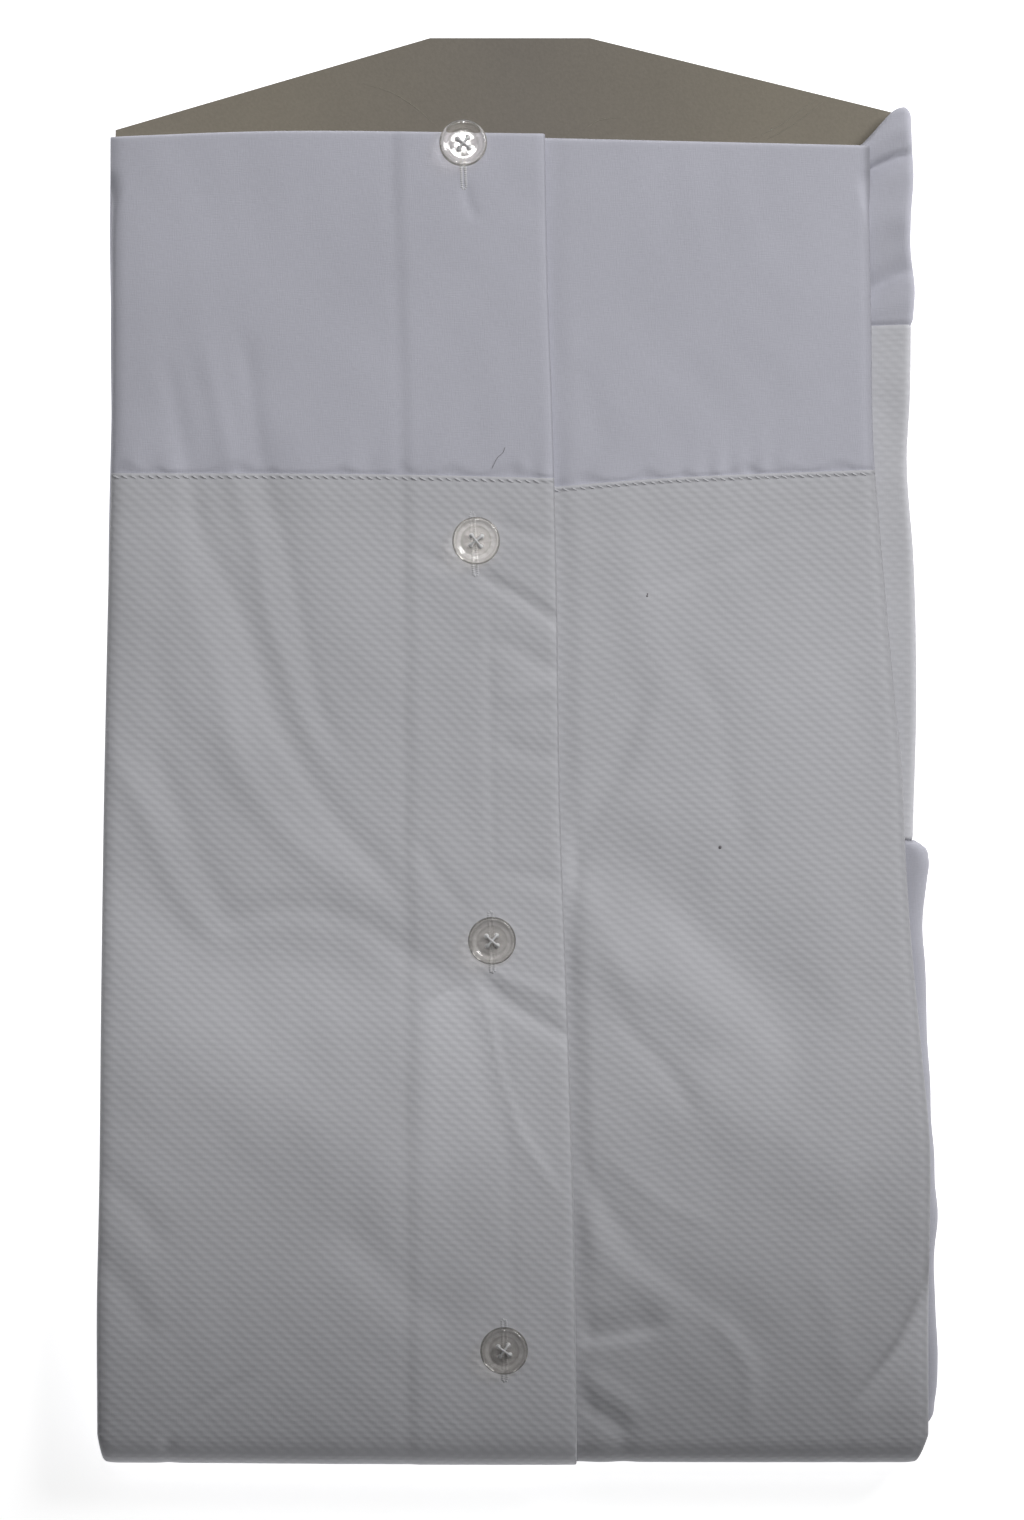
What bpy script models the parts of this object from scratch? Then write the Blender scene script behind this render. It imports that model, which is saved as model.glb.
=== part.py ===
"""Folded dress shirt wrapped round a packing board.

The pack lies on its display side. +Y points to the head end, where the bare
board shows, and +X to the side where a sleeve and its cuff show. Both fronts
run from under the pack, round its foot and up its back, where they end in a
turned-under edge. The bibs are ribbed cotton, the skirts above the seam plain.
Sizes are in millimetres and become metres where a mesh is made.
"""
import math

import bpy
import numpy as np

MM = 0.001

# Cloth walls and the clearance between pieces that touch
WALL = 1.1
GAP = 0.3
FOLD_RADIUS = 1.25
LIP_ARC = math.pi * FOLD_RADIUS
LIP_STEPS = 4
TUCK = 12.0
TUCK_STEPS = 2
FLAT_SWEEP = 0.06
OPEN_TAIL = 0.3
SHARP_ANGLE = math.radians(50.0)

# How many points the grids of cloth have across and along
BAND_COLUMNS = 6
BODY_COLUMNS = 11
RIGHT_COLUMNS = 14
BIB_ROWS = 26
FOOT_ROWS = 7
SKIRT_ROWS = 11
HEAD_STEPS = 4
STRIP_ROWS = 11
STRIP_COLUMNS = 7
STRIP_STEPS = 4
STRIP_BACK_COLUMNS = 3
SIDE_COLUMNS = 8

# Heights of the outer faces above the ground
MID_Z = 7.4
LEFT_TOP = 14.0
FACING_TOP = 14.75
PLACKET_TOP = 15.2
RIGHT_TOP = 13.8
UNDERLAP_SINK = 0.25
UNDERLAP_SINK_START = 1.0
UNDERLAP_SINK_LENGTH = 3.0
UNDERLAP_CALM_LENGTH = 4.0
CROWN = 0.8

# Ends of the pack
FOOT_Y = -163.8
UNDER_END_Y = 102.7
HALF_WIDTH = 100.0
HALF_LENGTH = 165.0

# Left side edge of the back of the pack, from foot to head
LEFT_EDGE = (
    {"y": -163.8, "x": -100.6},
    {"y": -131.6, "x": -100.7},
    {"y": -107.6, "x": -100.2},
    {"y": -59.6, "x": -99.7},
    {"y": -11.6, "x": -99.0},
    {"y": 36.4, "x": -98.0},
    {"y": 67.6, "x": -97.2},
    {"y": 148.0, "x": -97.1},
)

# Free edge of the left front, over the right one
PLACKET_EDGE = (
    {"y": -170.0, "x": 14.5},
    {"y": -107.6, "x": 13.6},
    {"y": -59.6, "x": 12.1},
    {"y": -11.6, "x": 10.4},
    {"y": 36.4, "x": 9.7},
    {"y": 84.4, "x": 8.5},
    {"y": 108.4, "x": 7.6},
    {"y": 148.0, "x": 6.8},
)

# Edge of the facing that is folded in behind the placket
FACING_EDGE = (
    {"y": -156.0, "x": -24.4},
    {"y": -36.0, "x": -24.8},
    {"y": 67.0, "x": -25.6},
    {"y": 144.0, "x": -28.0},
)

# The step at the facing's edge, and how calm the cloth lies on the placket
FACING_HALF_STEP = 1.2
FACING_CALM = 0.8
FACING_CALM_START = 4.0
FACING_CALM_LENGTH = 8.0

# Right side edge of the right front, a fold that leans in towards the head
RIGHT_EDGE = (
    {"y": -163.8, "x": 98.8},
    {"y": -129.0, "x": 98.9},
    {"y": -112.4, "x": 99.2},
    {"y": -95.6, "x": 99.2},
    {"y": -74.0, "x": 97.3},
    {"y": -42.8, "x": 94.4},
    {"y": -23.6, "x": 93.2},
    {"y": -6.8, "x": 92.5},
    {"y": 14.8, "x": 90.4},
    {"y": 50.8, "x": 87.2},
    {"y": 67.6, "x": 85.8},
    {"y": 102.4, "x": 85.1},
    {"y": 144.4, "x": 84.4},
)

# Side edges of the display side, underneath
UNDER_LEFT = (
    {"y": -163.8, "x": -99.4},
    {"y": -60.0, "x": -98.6},
    {"y": 102.7, "x": -96.6},
)
UNDER_RIGHT = (
    {"y": -163.8, "x": 97.6},
    {"y": -90.0, "x": 97.4},
    {"y": -60.0, "x": 96.0},
    {"y": -30.0, "x": 95.4},
    {"y": -12.0, "x": 93.2},
    {"y": 102.7, "x": 92.8},
)

UNDER_ROWS = (-120.0, -60.0, -30.0, -10.0, UNDER_END_Y)

# How far out the side edges stand on the way round the foot
LEFT_FOOT = (
    {"turn": 0.0, "x": -100.6},
    {"turn": 0.5, "x": -99.3},
    {"turn": 1.0, "x": -99.4},
)
RIGHT_FOOT = (
    {"turn": 0.0, "x": 98.8},
    {"turn": 0.5, "x": 96.4},
    {"turn": 1.0, "x": 97.6},
)

# Seam between bib and skirt, and the fold at the head end, across the pack
LEFT_SEAM = (
    {"x": -98.0, "y": 66.8},
    {"x": -28.0, "y": 66.4},
    {"x": 7.0, "y": 65.6},
)
RIGHT_SEAM = (
    {"x": 9.0, "y": 63.5},
    {"x": 30.0, "y": 65.2},
    {"x": 85.0, "y": 67.6},
)
LEFT_HEAD = (
    {"x": -97.1, "y": 147.5},
    {"x": -64.0, "y": 148.7},
    {"x": 6.8, "y": 148.2},
)
RIGHT_HEAD = (
    {"x": 6.8, "y": 147.2},
    {"x": 84.4, "y": 145.4},
)
HEAD_RADIUS = 1.3
HEAD_TUCK = 15.0
HEAD_TUCK_INSET = 6.0
HEAD_TUCK_SHARES = (0.35, 1.0)

# The side fold closes along these distances from the head end
SWEEP_OPEN = (
    {"y": 122.0, "sweep": math.pi},
    {"y": 140.0, "sweep": FLAT_SWEEP},
)
TAIL_OPEN = (
    {"y": 106.0, "tail": TUCK},
    {"y": 120.0, "tail": OPEN_TAIL},
)

# The right front reaches under the left one, but not where either is folded
UNDERLAP = (
    {"y": -158.0, "reach": -0.4},
    {"y": -146.0, "reach": 9.0},
    {"y": 114.0, "reach": 9.0},
    {"y": 128.0, "reach": -0.4},
)

# Where the right fold dissolves near the foot, the cloth beyond it lies lower
DISSOLVE_LINE = (
    {"y": -153.0, "x": 81.0},
    {"y": -148.4, "x": 87.2},
    {"y": -141.2, "x": 93.2},
    {"y": -129.2, "x": 98.6},
)
DISSOLVE_DEPTH = (
    {"y": -156.0, "depth": 0.0},
    {"y": -148.4, "depth": 0.7},
    {"y": -141.2, "depth": 1.4},
    {"y": -131.0, "depth": 1.7},
    {"y": -124.0, "depth": 0.0},
)
DISSOLVE_WIDTH = 3.0

# The largest soft folds on the back of the pack
LEFT_FOLDS = (
    {"path": ((-72, 89), (-65, 72), (-59, 36), (-45, -4)), "rise": 0.8, "width": 6.0},
    {"path": ((-88, 46), (-76, 32), (-62, -2), (-45, -24), (-35, -31)), "rise": 0.7, "width": 6.0},
    {"path": ((-88, -7), (-76, -36), (-66, -43)), "rise": 0.6, "width": 5.0},
    {"path": ((-78, 77), (-68, 32), (-52, -10), (-28, -36)), "rise": -0.5, "width": 5.0},
    {"path": ((-66, -41), (-42, -39), (-28, -43)), "rise": -0.6, "width": 6.0},
    {"path": ((-60, -75), (-40, -105), (-34, -150)), "rise": 0.5, "width": 14.0},
)
RIGHT_FOLDS = (
    {"path": ((27, 15), (30, -12)), "rise": -0.4, "width": 6.0},
    {"path": ((20, -36), (30, -48)), "rise": 0.6, "width": 7.0},
    {"path": ((30, -67), (44, -88)), "rise": -0.4, "width": 6.0},
    {"path": ((15, -105), (30, -117), (44, -129), (58, -148)), "rise": -0.4, "width": 5.0},
    {"path": ((20, -115), (32, -127)), "rise": 0.6, "width": 6.0},
    {"path": ((70, 40), (60, -20), (70, -90)), "rise": 0.5, "width": 14.0},
)

# Sleeve and cuff that show beside the right front
STRIP_INNER_X = 74.0
STRIP_OUTER_X = 100.0
STRIP_TOP = 10.6
STRIP_RADIUS = 1.3
CUFF_SEAM_Y = 102.4
CUFF_END_Y = -21.2
SLEEVE_EDGE = (
    {"y": 102.4, "x": 94.7},
    {"y": 110.8, "x": 95.2},
    {"y": 120.4, "x": 94.2},
    {"y": 137.2, "x": 94.9},
    {"y": 153.0, "x": 94.2},
)
SLEEVE_HEAD = (
    {"x": 74.0, "y": 142.0},
    {"x": 83.9, "y": 146.0},
    {"x": 91.4, "y": 153.0},
    {"x": 94.9, "y": 154.2},
)
CUFF_EDGE = (
    {"y": -21.2, "x": 94.7},
    {"y": 17.2, "x": 95.6},
    {"y": 46.0, "x": 94.9},
    {"y": 71.0, "x": 93.3},
    {"y": 84.4, "x": 94.0},
    {"y": 102.4, "x": 94.3},
)
SLEEVE_FOLDS = (
    {"path": ((85, 140), (95, 145)), "rise": -0.7, "width": 2.6},
    {"path": ((84, 113), (96, 116)), "rise": -0.5, "width": 3.5},
)
CUFF_FOLDS = (
    {"path": ((90, 80), (95, 66)), "rise": -0.4, "width": 5.0},
)

# Plain side of the right front, wrapped up beside the board below the cuff
SIDE_STRIP = (
    {"y": -161.5, "x": 99.4, "top": 9.1, "reach": 0.3},
    {"y": -155.6, "x": 100.2, "top": 9.1, "reach": 0.3},
    {"y": -146.0, "x": 100.7, "top": 9.1, "reach": 0.3},
    {"y": -134.0, "x": 100.4, "top": 9.2, "reach": 0.3},
    {"y": -124.4, "x": 99.8, "top": 9.8, "reach": 0.3},
    {"y": -112.4, "x": 100.7, "top": 10.9, "reach": 2.0},
    {"y": -102.8, "x": 100.2, "top": 10.9, "reach": 4.0},
    {"y": -86.0, "x": 99.2, "top": 10.9, "reach": 4.0},
    {"y": -71.6, "x": 98.5, "top": 10.9, "reach": 4.0},
    {"y": -50.0, "x": 97.6, "top": 10.9, "reach": 4.0},
    {"y": -42.8, "x": 97.2, "top": 10.9, "reach": 4.0},
    {"y": -30.8, "x": 98.1, "top": 10.9, "reach": 4.0},
    {"y": -25.6, "x": 98.5, "top": 10.9, "reach": 4.0},
    {"y": -22.4, "x": 97.6, "top": 10.9, "reach": 4.0},
)
SIDE_STRIP_BULGE = 3.2
SIDE_STRIP_FOOT_Z = 2.8

# Grey board: low corners, sloping shoulders and a flat top
BOARD_THICKNESS = 1.0
BOARD_Z = 5.9
BOARD_LEFT_X = -96.4
BOARD_RIGHT_X = 90.4
BOARD_FOOT_Y = -159.0
BOARD_TOP_Y = 171.5
BOARD_TOP_LEFT_X = -20.8
BOARD_TOP_RIGHT_X = 17.6
BOARD_LEFT_SHOULDER_Y = 149.4
BOARD_RIGHT_SHOULDER_Y = 153.6

# Sides of the hidden layers, which keep inside what shows
CORE_LEFT = (
    {"y": -163.8, "x": -100.6},
    {"y": -60.0, "x": -99.8},
    {"y": 36.0, "x": -98.3},
    {"y": 67.0, "x": -97.8},
    {"y": 148.0, "x": -97.8},
)
CORE_RIGHT = (
    {"y": -163.8, "x": 95.4},
    {"y": -112.0, "x": 96.2},
    {"y": -90.0, "x": 95.4},
    {"y": -60.0, "x": 94.2},
    {"y": -42.0, "x": 93.3},
    {"y": -27.0, "x": 92.8},
    {"y": -16.0, "x": 92.6},
    {"y": 150.0, "x": 92.4},
)
CORE_FOOT_RADIUS = 4.0
CORE_CORNER = 2.5
SLEEVE_LEDGE = (
    {"y": -26.5, "share": 0.0},
    {"y": -22.5, "share": 1.0},
)
UPPER_HEAD_Y = 143.6
PLATEAU_HEAD_Y = 128.0
SHOULDER_INSET = 2.4
CORE_RIGHT_YS = (-130.0, -100.0, -65.0, -42.0, -26.5, -22.5, -15.0, 20.0, 60.0)
CORE_LEFT_YS = (60.0, 10.0, -40.0, -90.0, -130.0)
CORE_HEAD_Y = 100.0
CORE_FOOT_POINTS = 7
CORE_HEAD_POINTS = 6

# One row for each level of the hidden layers: how far each side is drawn in,
# how much more beside the sleeve, and where the head end lies. A head of None
# follows the shoulders of the board.
CORE_LEVELS = (
    {"z": 1.4, "left": 17.0, "right": 15.0, "sleeve": 0.0, "head": UNDER_END_Y},
    {"z": 2.8, "left": 17.0, "right": 15.0, "sleeve": 0.0, "head": UNDER_END_Y},
    {"z": 2.9, "left": 1.6, "right": 0.9, "sleeve": 0.0, "head": UNDER_END_Y},
    {"z": 3.8, "left": 0.5, "right": 0.2, "sleeve": 0.0, "head": UNDER_END_Y},
    {"z": 3.9, "left": 0.4, "right": 0.1, "sleeve": 0.0, "head": None},
    {"z": 4.6, "left": 0.5, "right": 0.0, "sleeve": 0.0, "head": None},
    {"z": 5.1, "left": 0.9, "right": 0.6, "sleeve": 0.0, "head": None},
    {"z": 5.2, "left": 0.9, "right": 0.6, "sleeve": 0.0, "head": UPPER_HEAD_Y},
    {"z": 5.7, "left": 0.1, "right": 0.0, "sleeve": 0.0, "head": UPPER_HEAD_Y},
    {"z": 6.5, "left": 0.0, "right": 0.0, "sleeve": 0.0, "head": UPPER_HEAD_Y},
    {"z": 7.3, "left": 0.2, "right": 0.1, "sleeve": 0.0, "head": UPPER_HEAD_Y},
    {"z": 7.6, "left": 0.9, "right": 0.7, "sleeve": 0.0, "head": UPPER_HEAD_Y},
    {"z": 7.7, "left": 0.8, "right": 0.6, "sleeve": 20.0, "head": UPPER_HEAD_Y},
    {"z": 8.1, "left": 0.2, "right": 0.1, "sleeve": 20.0, "head": UPPER_HEAD_Y},
    {"z": 8.9, "left": 0.2, "right": 0.4, "sleeve": 20.0, "head": UPPER_HEAD_Y},
    {"z": 9.2, "left": 1.0, "right": 1.2, "sleeve": 20.0, "head": UPPER_HEAD_Y},
    {"z": 9.3, "left": 0.9, "right": 17.0, "sleeve": 5.0, "head": UPPER_HEAD_Y},
    {"z": 9.7, "left": 0.3, "right": 16.8, "sleeve": 5.0, "head": UPPER_HEAD_Y},
    {"z": 10.4, "left": 0.4, "right": 17.0, "sleeve": 5.0, "head": UPPER_HEAD_Y},
    {"z": 10.8, "left": 1.3, "right": 17.4, "sleeve": 5.0, "head": UPPER_HEAD_Y},
    {"z": 10.9, "left": 15.0, "right": 17.6, "sleeve": 5.0, "head": PLATEAU_HEAD_Y},
    {"z": 11.9, "left": 16.0, "right": 18.5, "sleeve": 5.0, "head": PLATEAU_HEAD_Y - 1.0},
    {"z": 12.4, "left": 45.0, "right": 45.0, "sleeve": 2.0, "head": 96.0},
)

# Flattened collar under the head end, half of its outline from the middle out
COLLAR_MIDDLE_X = -1.6
COLLAR_HALF = (
    {"x": 9.0, "y": 169.6},
    {"x": 22.0, "y": 168.0},
    {"x": 38.0, "y": 162.6},
    {"x": 51.0, "y": 154.6},
    {"x": 59.0, "y": 145.0},
    {"x": 60.0, "y": 136.0},
    {"x": 45.5, "y": 113.0},
    {"x": 43.0, "y": 112.6},
    {"x": 20.0, "y": 125.0},
    {"x": 2.0, "y": 134.0},
)
COLLAR_LEVELS = (
    {"z": 0.0, "inset": 0.4},
    {"z": 0.4, "inset": 0.0},
    {"z": 1.5, "inset": 0.0},
    {"z": 1.9, "inset": 0.7},
    {"z": 2.2, "inset": 0.5},
    {"z": 3.2, "inset": 0.6},
    {"z": 3.5, "inset": 1.2},
)

# Four-hole buttons: turned profile from the back centre to the front centre
BUTTON_SIDES = 20
BUTTON_PROFILE = (
    {"radius": 3.9, "z": 0.0},
    {"radius": 5.3, "z": 0.5},
    {"radius": 5.75, "z": 1.2},
    {"radius": 5.5, "z": 1.9},
    {"radius": 4.9, "z": 2.2},
    {"radius": 4.25, "z": 1.9},
    {"radius": 3.8, "z": 1.4},
)
BUTTON_BACK_Z = 0.15
BUTTON_FRONT_Z = 1.3
HOLE_RADIUS = 0.75
HOLE_OFFSET = 1.3
HOLE_SIDES = 8
HOLE_ENDS = (-1.0, 3.0)
BUTTON_LIFT = 0.35
BUTTONS = (
    {"name": "button_1", "x": -12.8, "y": 145.6, "tilt": -9.0, "lift": 0.25},
    {"name": "button_2", "x": -9.7, "y": 50.5, "tilt": 0.0, "lift": 0.0},
    {"name": "button_3", "x": -5.9, "y": -45.2, "tilt": 0.0, "lift": 0.0},
    {"name": "button_4", "x": -3.0, "y": -143.4, "tilt": 0.0, "lift": 0.0},
)

# Middle of the pack's box, which becomes the origin
ORIGIN_X = -0.033
ORIGIN_Y = 0.077


def along(table, key, column):
    """Reader of a table's column, straight between its rows."""
    keys = [row[key] for row in table]
    values = [row[column] for row in table]
    return lambda at: np.interp(at, keys, values)


def smooth_step(value):
    """0 below 0, 1 above 1, with soft ends."""
    clipped = np.clip(value, 0.0, 1.0)
    return clipped * clipped * (3.0 - 2.0 * clipped)


left_edge = along(LEFT_EDGE, "y", "x")
placket_edge = along(PLACKET_EDGE, "y", "x")
facing_edge = along(FACING_EDGE, "y", "x")
right_edge = along(RIGHT_EDGE, "y", "x")
underlap = along(UNDERLAP, "y", "reach")


def fold_height(x, y, folds):
    """Sum of soft ridges and troughs, each a bell across its path."""
    total = np.zeros(np.broadcast(x, y).shape)
    for fold in folds:
        nearest = np.full(total.shape, np.inf)
        path = fold["path"]
        for (x0, y0), (x1, y1) in zip(path, path[1:]):
            dx = x1 - x0
            dy = y1 - y0
            share = ((x - x0) * dx + (y - y0) * dy) / (dx * dx + dy * dy)
            share = np.clip(share, 0.0, 1.0)
            distance = np.hypot(x - x0 - share * dx, y - y0 - share * dy)
            nearest = np.minimum(nearest, distance)
        total += fold["rise"] * np.exp(-((nearest / fold["width"]) ** 2))
    return total


def crown(x, y):
    """Gentle rise of the whole stack towards its middle."""
    across = np.clip(1.0 - (x / HALF_WIDTH) ** 2, 0.0, 1.0)
    lengthwise = np.clip(1.0 - (y / HALF_LENGTH) ** 2, 0.0, 1.0)
    return CROWN * across * np.sqrt(lengthwise)


def left_height(x, y):
    """Outer face of the left front: it steps up where the facing lies behind."""
    facing_x = facing_edge(y)
    rise = (x - left_edge(y)) / (facing_x - left_edge(y))
    base = LEFT_TOP + (FACING_TOP - LEFT_TOP) * np.clip(rise, 0.0, 1.0)
    step = smooth_step((x - facing_x + FACING_HALF_STEP) / (2.0 * FACING_HALF_STEP))
    base = base + (PLACKET_TOP - FACING_TOP) * step
    calm = smooth_step((x - facing_x - FACING_CALM_START) / FACING_CALM_LENGTH)
    near_band = 1.0 - FACING_CALM * calm
    return base + crown(x, y) + near_band * fold_height(x, y, LEFT_FOLDS)


def right_height(x, y):
    """Outer face of the right front: lower under the placket and past its fold."""
    beyond = x - along(DISSOLVE_LINE, "y", "x")(y)
    depth = along(DISSOLVE_DEPTH, "y", "depth")(y)
    lowered = depth * smooth_step(beyond / DISSOLVE_WIDTH)
    beneath = placket_edge(y) - x
    sinking = (beneath + UNDERLAP_SINK_START) / UNDERLAP_SINK_LENGTH
    lapped = UNDERLAP_SINK * smooth_step(sinking)
    clear = smooth_step(-beneath / UNDERLAP_CALM_LENGTH)
    folds = clear * fold_height(x, y, RIGHT_FOLDS)
    return RIGHT_TOP + crown(x, y) + folds - lowered - lapped


def left_columns(y, bend_x):
    """Places across the left front, close together at the facing's edge."""
    facing_x = facing_edge(y)
    band = np.linspace(placket_edge(y), facing_x + FACING_HALF_STEP, BAND_COLUMNS)
    body = np.linspace(facing_x - FACING_HALF_STEP, bend_x, BODY_COLUMNS)
    return np.concatenate([band, body])


def right_columns(y, bend_x):
    """Places across the right front, from under the placket to its side."""
    start = placket_edge(y) - underlap(y)
    return np.linspace(start, bend_x, RIGHT_COLUMNS)


def section(columns, y, outer_x, side, sweep, tail, depth):
    """One row across a front: its flat part, then its turned-under side.

    Returns x and how far each point lies below the front's own height. The
    side bends through the angle sweep on a fixed length of cloth, and its
    tail runs on straight. depth is 0 on the outer face and WALL on the inner.
    """
    radius = LIP_ARC / sweep
    bend_x = outer_x - side * radius * math.sin(min(sweep, math.pi / 2))
    flat_x = columns(y, bend_x)
    flat_drop = np.full(flat_x.shape, depth)
    angles = sweep * np.arange(1, LIP_STEPS + 1) / LIP_STEPS
    lip_x = bend_x + side * (radius - depth) * np.sin(angles)
    lip_drop = radius - (radius - depth) * np.cos(angles)
    run = tail * np.arange(1, TUCK_STEPS + 1) / TUCK_STEPS
    tail_x = lip_x[-1] + side * math.cos(sweep) * run
    tail_drop = lip_drop[-1] + math.sin(sweep) * run
    x = np.concatenate([flat_x, lip_x, tail_x])
    drop = np.concatenate([flat_drop, lip_drop, tail_drop])
    return x, drop


def bib_face(columns, height, edge, foot, under, seam, side, depth):
    """Grid of one face of a bib, from the seam round the foot to below."""
    rows = []
    seam_y = along(seam, "x", "y")
    middle_y = float(np.mean([row["y"] for row in seam]))
    for share in np.linspace(0.0, 1.0, BIB_ROWS):
        y = middle_y + (FOOT_Y - middle_y) * share
        x, drop = section(columns, y, edge(y), side, math.pi, TUCK, depth)
        start = seam_y(x) - 0.5 * GAP
        place = start + (FOOT_Y - start) * share
        rows.append(np.stack([x, place, height(x, place) - drop], axis=-1))
    for turn in np.arange(1, FOOT_ROWS + 1) / FOOT_ROWS:
        outer_x = along(foot, "turn", "x")(turn)
        x, drop = section(columns, FOOT_Y, outer_x, side, math.pi, TUCK, depth)
        over = height(x, FOOT_Y) - MID_Z
        lift = over + (MID_Z - over) * turn - drop
        y = FOOT_Y - np.sin(turn * math.pi) * lift
        z = MID_Z + np.cos(turn * math.pi) * lift
        rows.append(np.stack([x, y, z], axis=-1))
    under_x = along(under, "y", "x")
    for y in UNDER_ROWS:
        x, drop = section(columns, FOOT_Y, under_x(y), side, math.pi, TUCK, depth)
        rows.append(np.stack([x, np.full(x.shape, y), drop], axis=-1))
    return np.array(rows)


def skirt_face(columns, height, edge, head, seam, side, depth):
    """Grid of one face of a plain skirt, from the seam to its head fold."""
    rows = []
    seam_y = along(seam, "x", "y")
    head_y = along(head, "x", "y")
    sweep_at = along(SWEEP_OPEN, "y", "sweep")
    tail_at = along(TAIL_OPEN, "y", "tail")
    middle_y = float(np.mean([row["y"] for row in seam]))
    last_y = float(np.mean([row["y"] for row in head])) - HEAD_RADIUS
    for share in np.linspace(0.0, 1.0, SKIRT_ROWS):
        y = middle_y + (last_y - middle_y) * share
        x, drop = section(columns, y, edge(y), side, sweep_at(y), tail_at(y), depth)
        start = seam_y(x) + 0.5 * GAP
        stop = head_y(x) - HEAD_RADIUS
        place = start + (stop - start) * share
        rows.append(np.stack([x, place, height(x, place) - drop], axis=-1))
    for angle in math.pi * np.arange(1, HEAD_STEPS + 1) / HEAD_STEPS:
        arm = HEAD_RADIUS - drop
        y = stop + arm * np.sin(angle)
        z = height(x, stop) - HEAD_RADIUS + arm * np.cos(angle)
        rows.append(np.stack([x, y, z], axis=-1))
    width = abs(x[-1] - x[0])
    for share in HEAD_TUCK_SHARES:
        narrow = 1.0 - min(share * 2.0, 1.0) * HEAD_TUCK_INSET / width
        tuck_x = x[0] + (x - x[0]) * narrow
        y = stop - HEAD_TUCK * share
        z = height(x, stop) - 2.0 * HEAD_RADIUS + drop
        rows.append(np.stack([tuck_x, y, z], axis=-1))
    return np.array(rows)


def strip_face(edge, start, end, folds, depth):
    """Grid of one face of the folded sleeve or cuff beside the right front."""
    rows = []
    middle_x = edge(start["y"][0]) - STRIP_RADIUS
    first_y = np.interp(middle_x, start["x"], start["y"])
    last_y = np.interp(middle_x, end["x"], end["y"])
    arm = STRIP_RADIUS - depth
    for share in np.linspace(0.0, 1.0, STRIP_ROWS):
        bend_x = edge(first_y + (last_y - first_y) * share) - STRIP_RADIUS
        flat_x = np.linspace(STRIP_INNER_X, bend_x, STRIP_COLUMNS)
        angles = math.pi * np.arange(1, STRIP_STEPS + 1) / STRIP_STEPS
        lip_x = bend_x + arm * np.sin(angles)
        lip_drop = STRIP_RADIUS - arm * np.cos(angles)
        back_x = np.linspace(bend_x, STRIP_INNER_X, STRIP_BACK_COLUMNS + 1)[1:]
        back_drop = np.full(STRIP_BACK_COLUMNS, 2.0 * STRIP_RADIUS - depth)
        x = np.concatenate([flat_x, lip_x, back_x])
        drop = np.concatenate([np.full(STRIP_COLUMNS, depth), lip_drop, back_drop])
        start_y = np.interp(x, start["x"], start["y"])
        end_y = np.interp(x, end["x"], end["y"])
        y = start_y + (end_y - start_y) * share
        keep = np.clip(1.0 - drop / (2.0 * STRIP_RADIUS), 0.0, 1.0)
        z = STRIP_TOP - drop + keep * fold_height(x, y, folds)
        rows.append(np.stack([x, y, z], axis=-1))
    return np.array(rows)


def side_face(depth):
    """Grid of one face of the plain side, bulging out between two levels."""
    rows = []
    for row in SIDE_STRIP:
        half = 0.5 * (row["top"] - SIDE_STRIP_FOOT_Z)
        centre_x = row["x"] - SIDE_STRIP_BULGE
        centre_z = SIDE_STRIP_FOOT_Z + half
        angles = np.linspace(-0.5, 0.5, SIDE_COLUMNS) * math.pi
        curve_x = centre_x + (SIDE_STRIP_BULGE - depth) * np.cos(angles)
        curve_z = centre_z + (half - depth) * np.sin(angles)
        flat_x = centre_x - row["reach"] * np.array([0.5, 1.0])
        flat_z = np.full(2, row["top"] - depth)
        x = np.concatenate([curve_x, flat_x])
        z = np.concatenate([curve_z, flat_z])
        rows.append(np.stack([x, np.full(x.shape, row["y"]), z], axis=-1))
    return np.array(rows)


def material(name, colour, roughness):
    """Principled material of one plain colour."""
    made = bpy.data.materials.new(name)
    made.use_nodes = True
    shader = made.node_tree.nodes["Principled BSDF"]
    shader.inputs["Base Color"].default_value = (*colour, 1.0)
    shader.inputs["Roughness"].default_value = roughness
    shader.inputs["Metallic"].default_value = 0.0
    return made


def make_object(name, points, faces, finish):
    """Object of the given points, in millimetres from the pack's own zero."""
    placed = (np.asarray(points, float) - (ORIGIN_X, ORIGIN_Y, 0.0)) * MM
    mesh = bpy.data.meshes.new(name)
    mesh.from_pydata(placed.tolist(), [], faces)
    mesh.materials.append(finish)
    mesh.shade_smooth()
    mesh.set_sharp_from_angle(angle=SHARP_ANGLE)
    made = bpy.data.objects.new(name, mesh)
    bpy.context.scene.collection.objects.link(made)
    return made


def cloth_wall(name, outer, inner, finish, flip):
    """Closed wall between two grids of points, its rims flat strips of faces."""
    rows, columns = outer.shape[:2]
    count = rows * columns

    def at(face, row, column):
        return face * count + row * columns + column

    faces = []
    for row in range(rows - 1):
        for column in range(columns - 1):
            quad = ((row, column), (row, column + 1), (row + 1, column + 1), (row + 1, column))
            faces.append([at(0, *corner) for corner in quad])
            faces.append([at(1, *corner) for corner in reversed(quad)])
    rim = [(0, column) for column in range(columns)]
    rim += [(row, columns - 1) for row in range(1, rows)]
    rim += [(rows - 1, column) for column in range(columns - 2, -1, -1)]
    rim += [(row, 0) for row in range(rows - 2, 0, -1)]
    for here, there in zip(rim, rim[1:] + rim[:1]):
        faces.append([at(0, *there), at(0, *here), at(1, *here), at(1, *there)])
    if flip:
        faces = [list(reversed(face)) for face in faces]
    points = np.concatenate([outer.reshape(-1, 3), inner.reshape(-1, 3)])
    return make_object(name, points, faces, finish)


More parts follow.
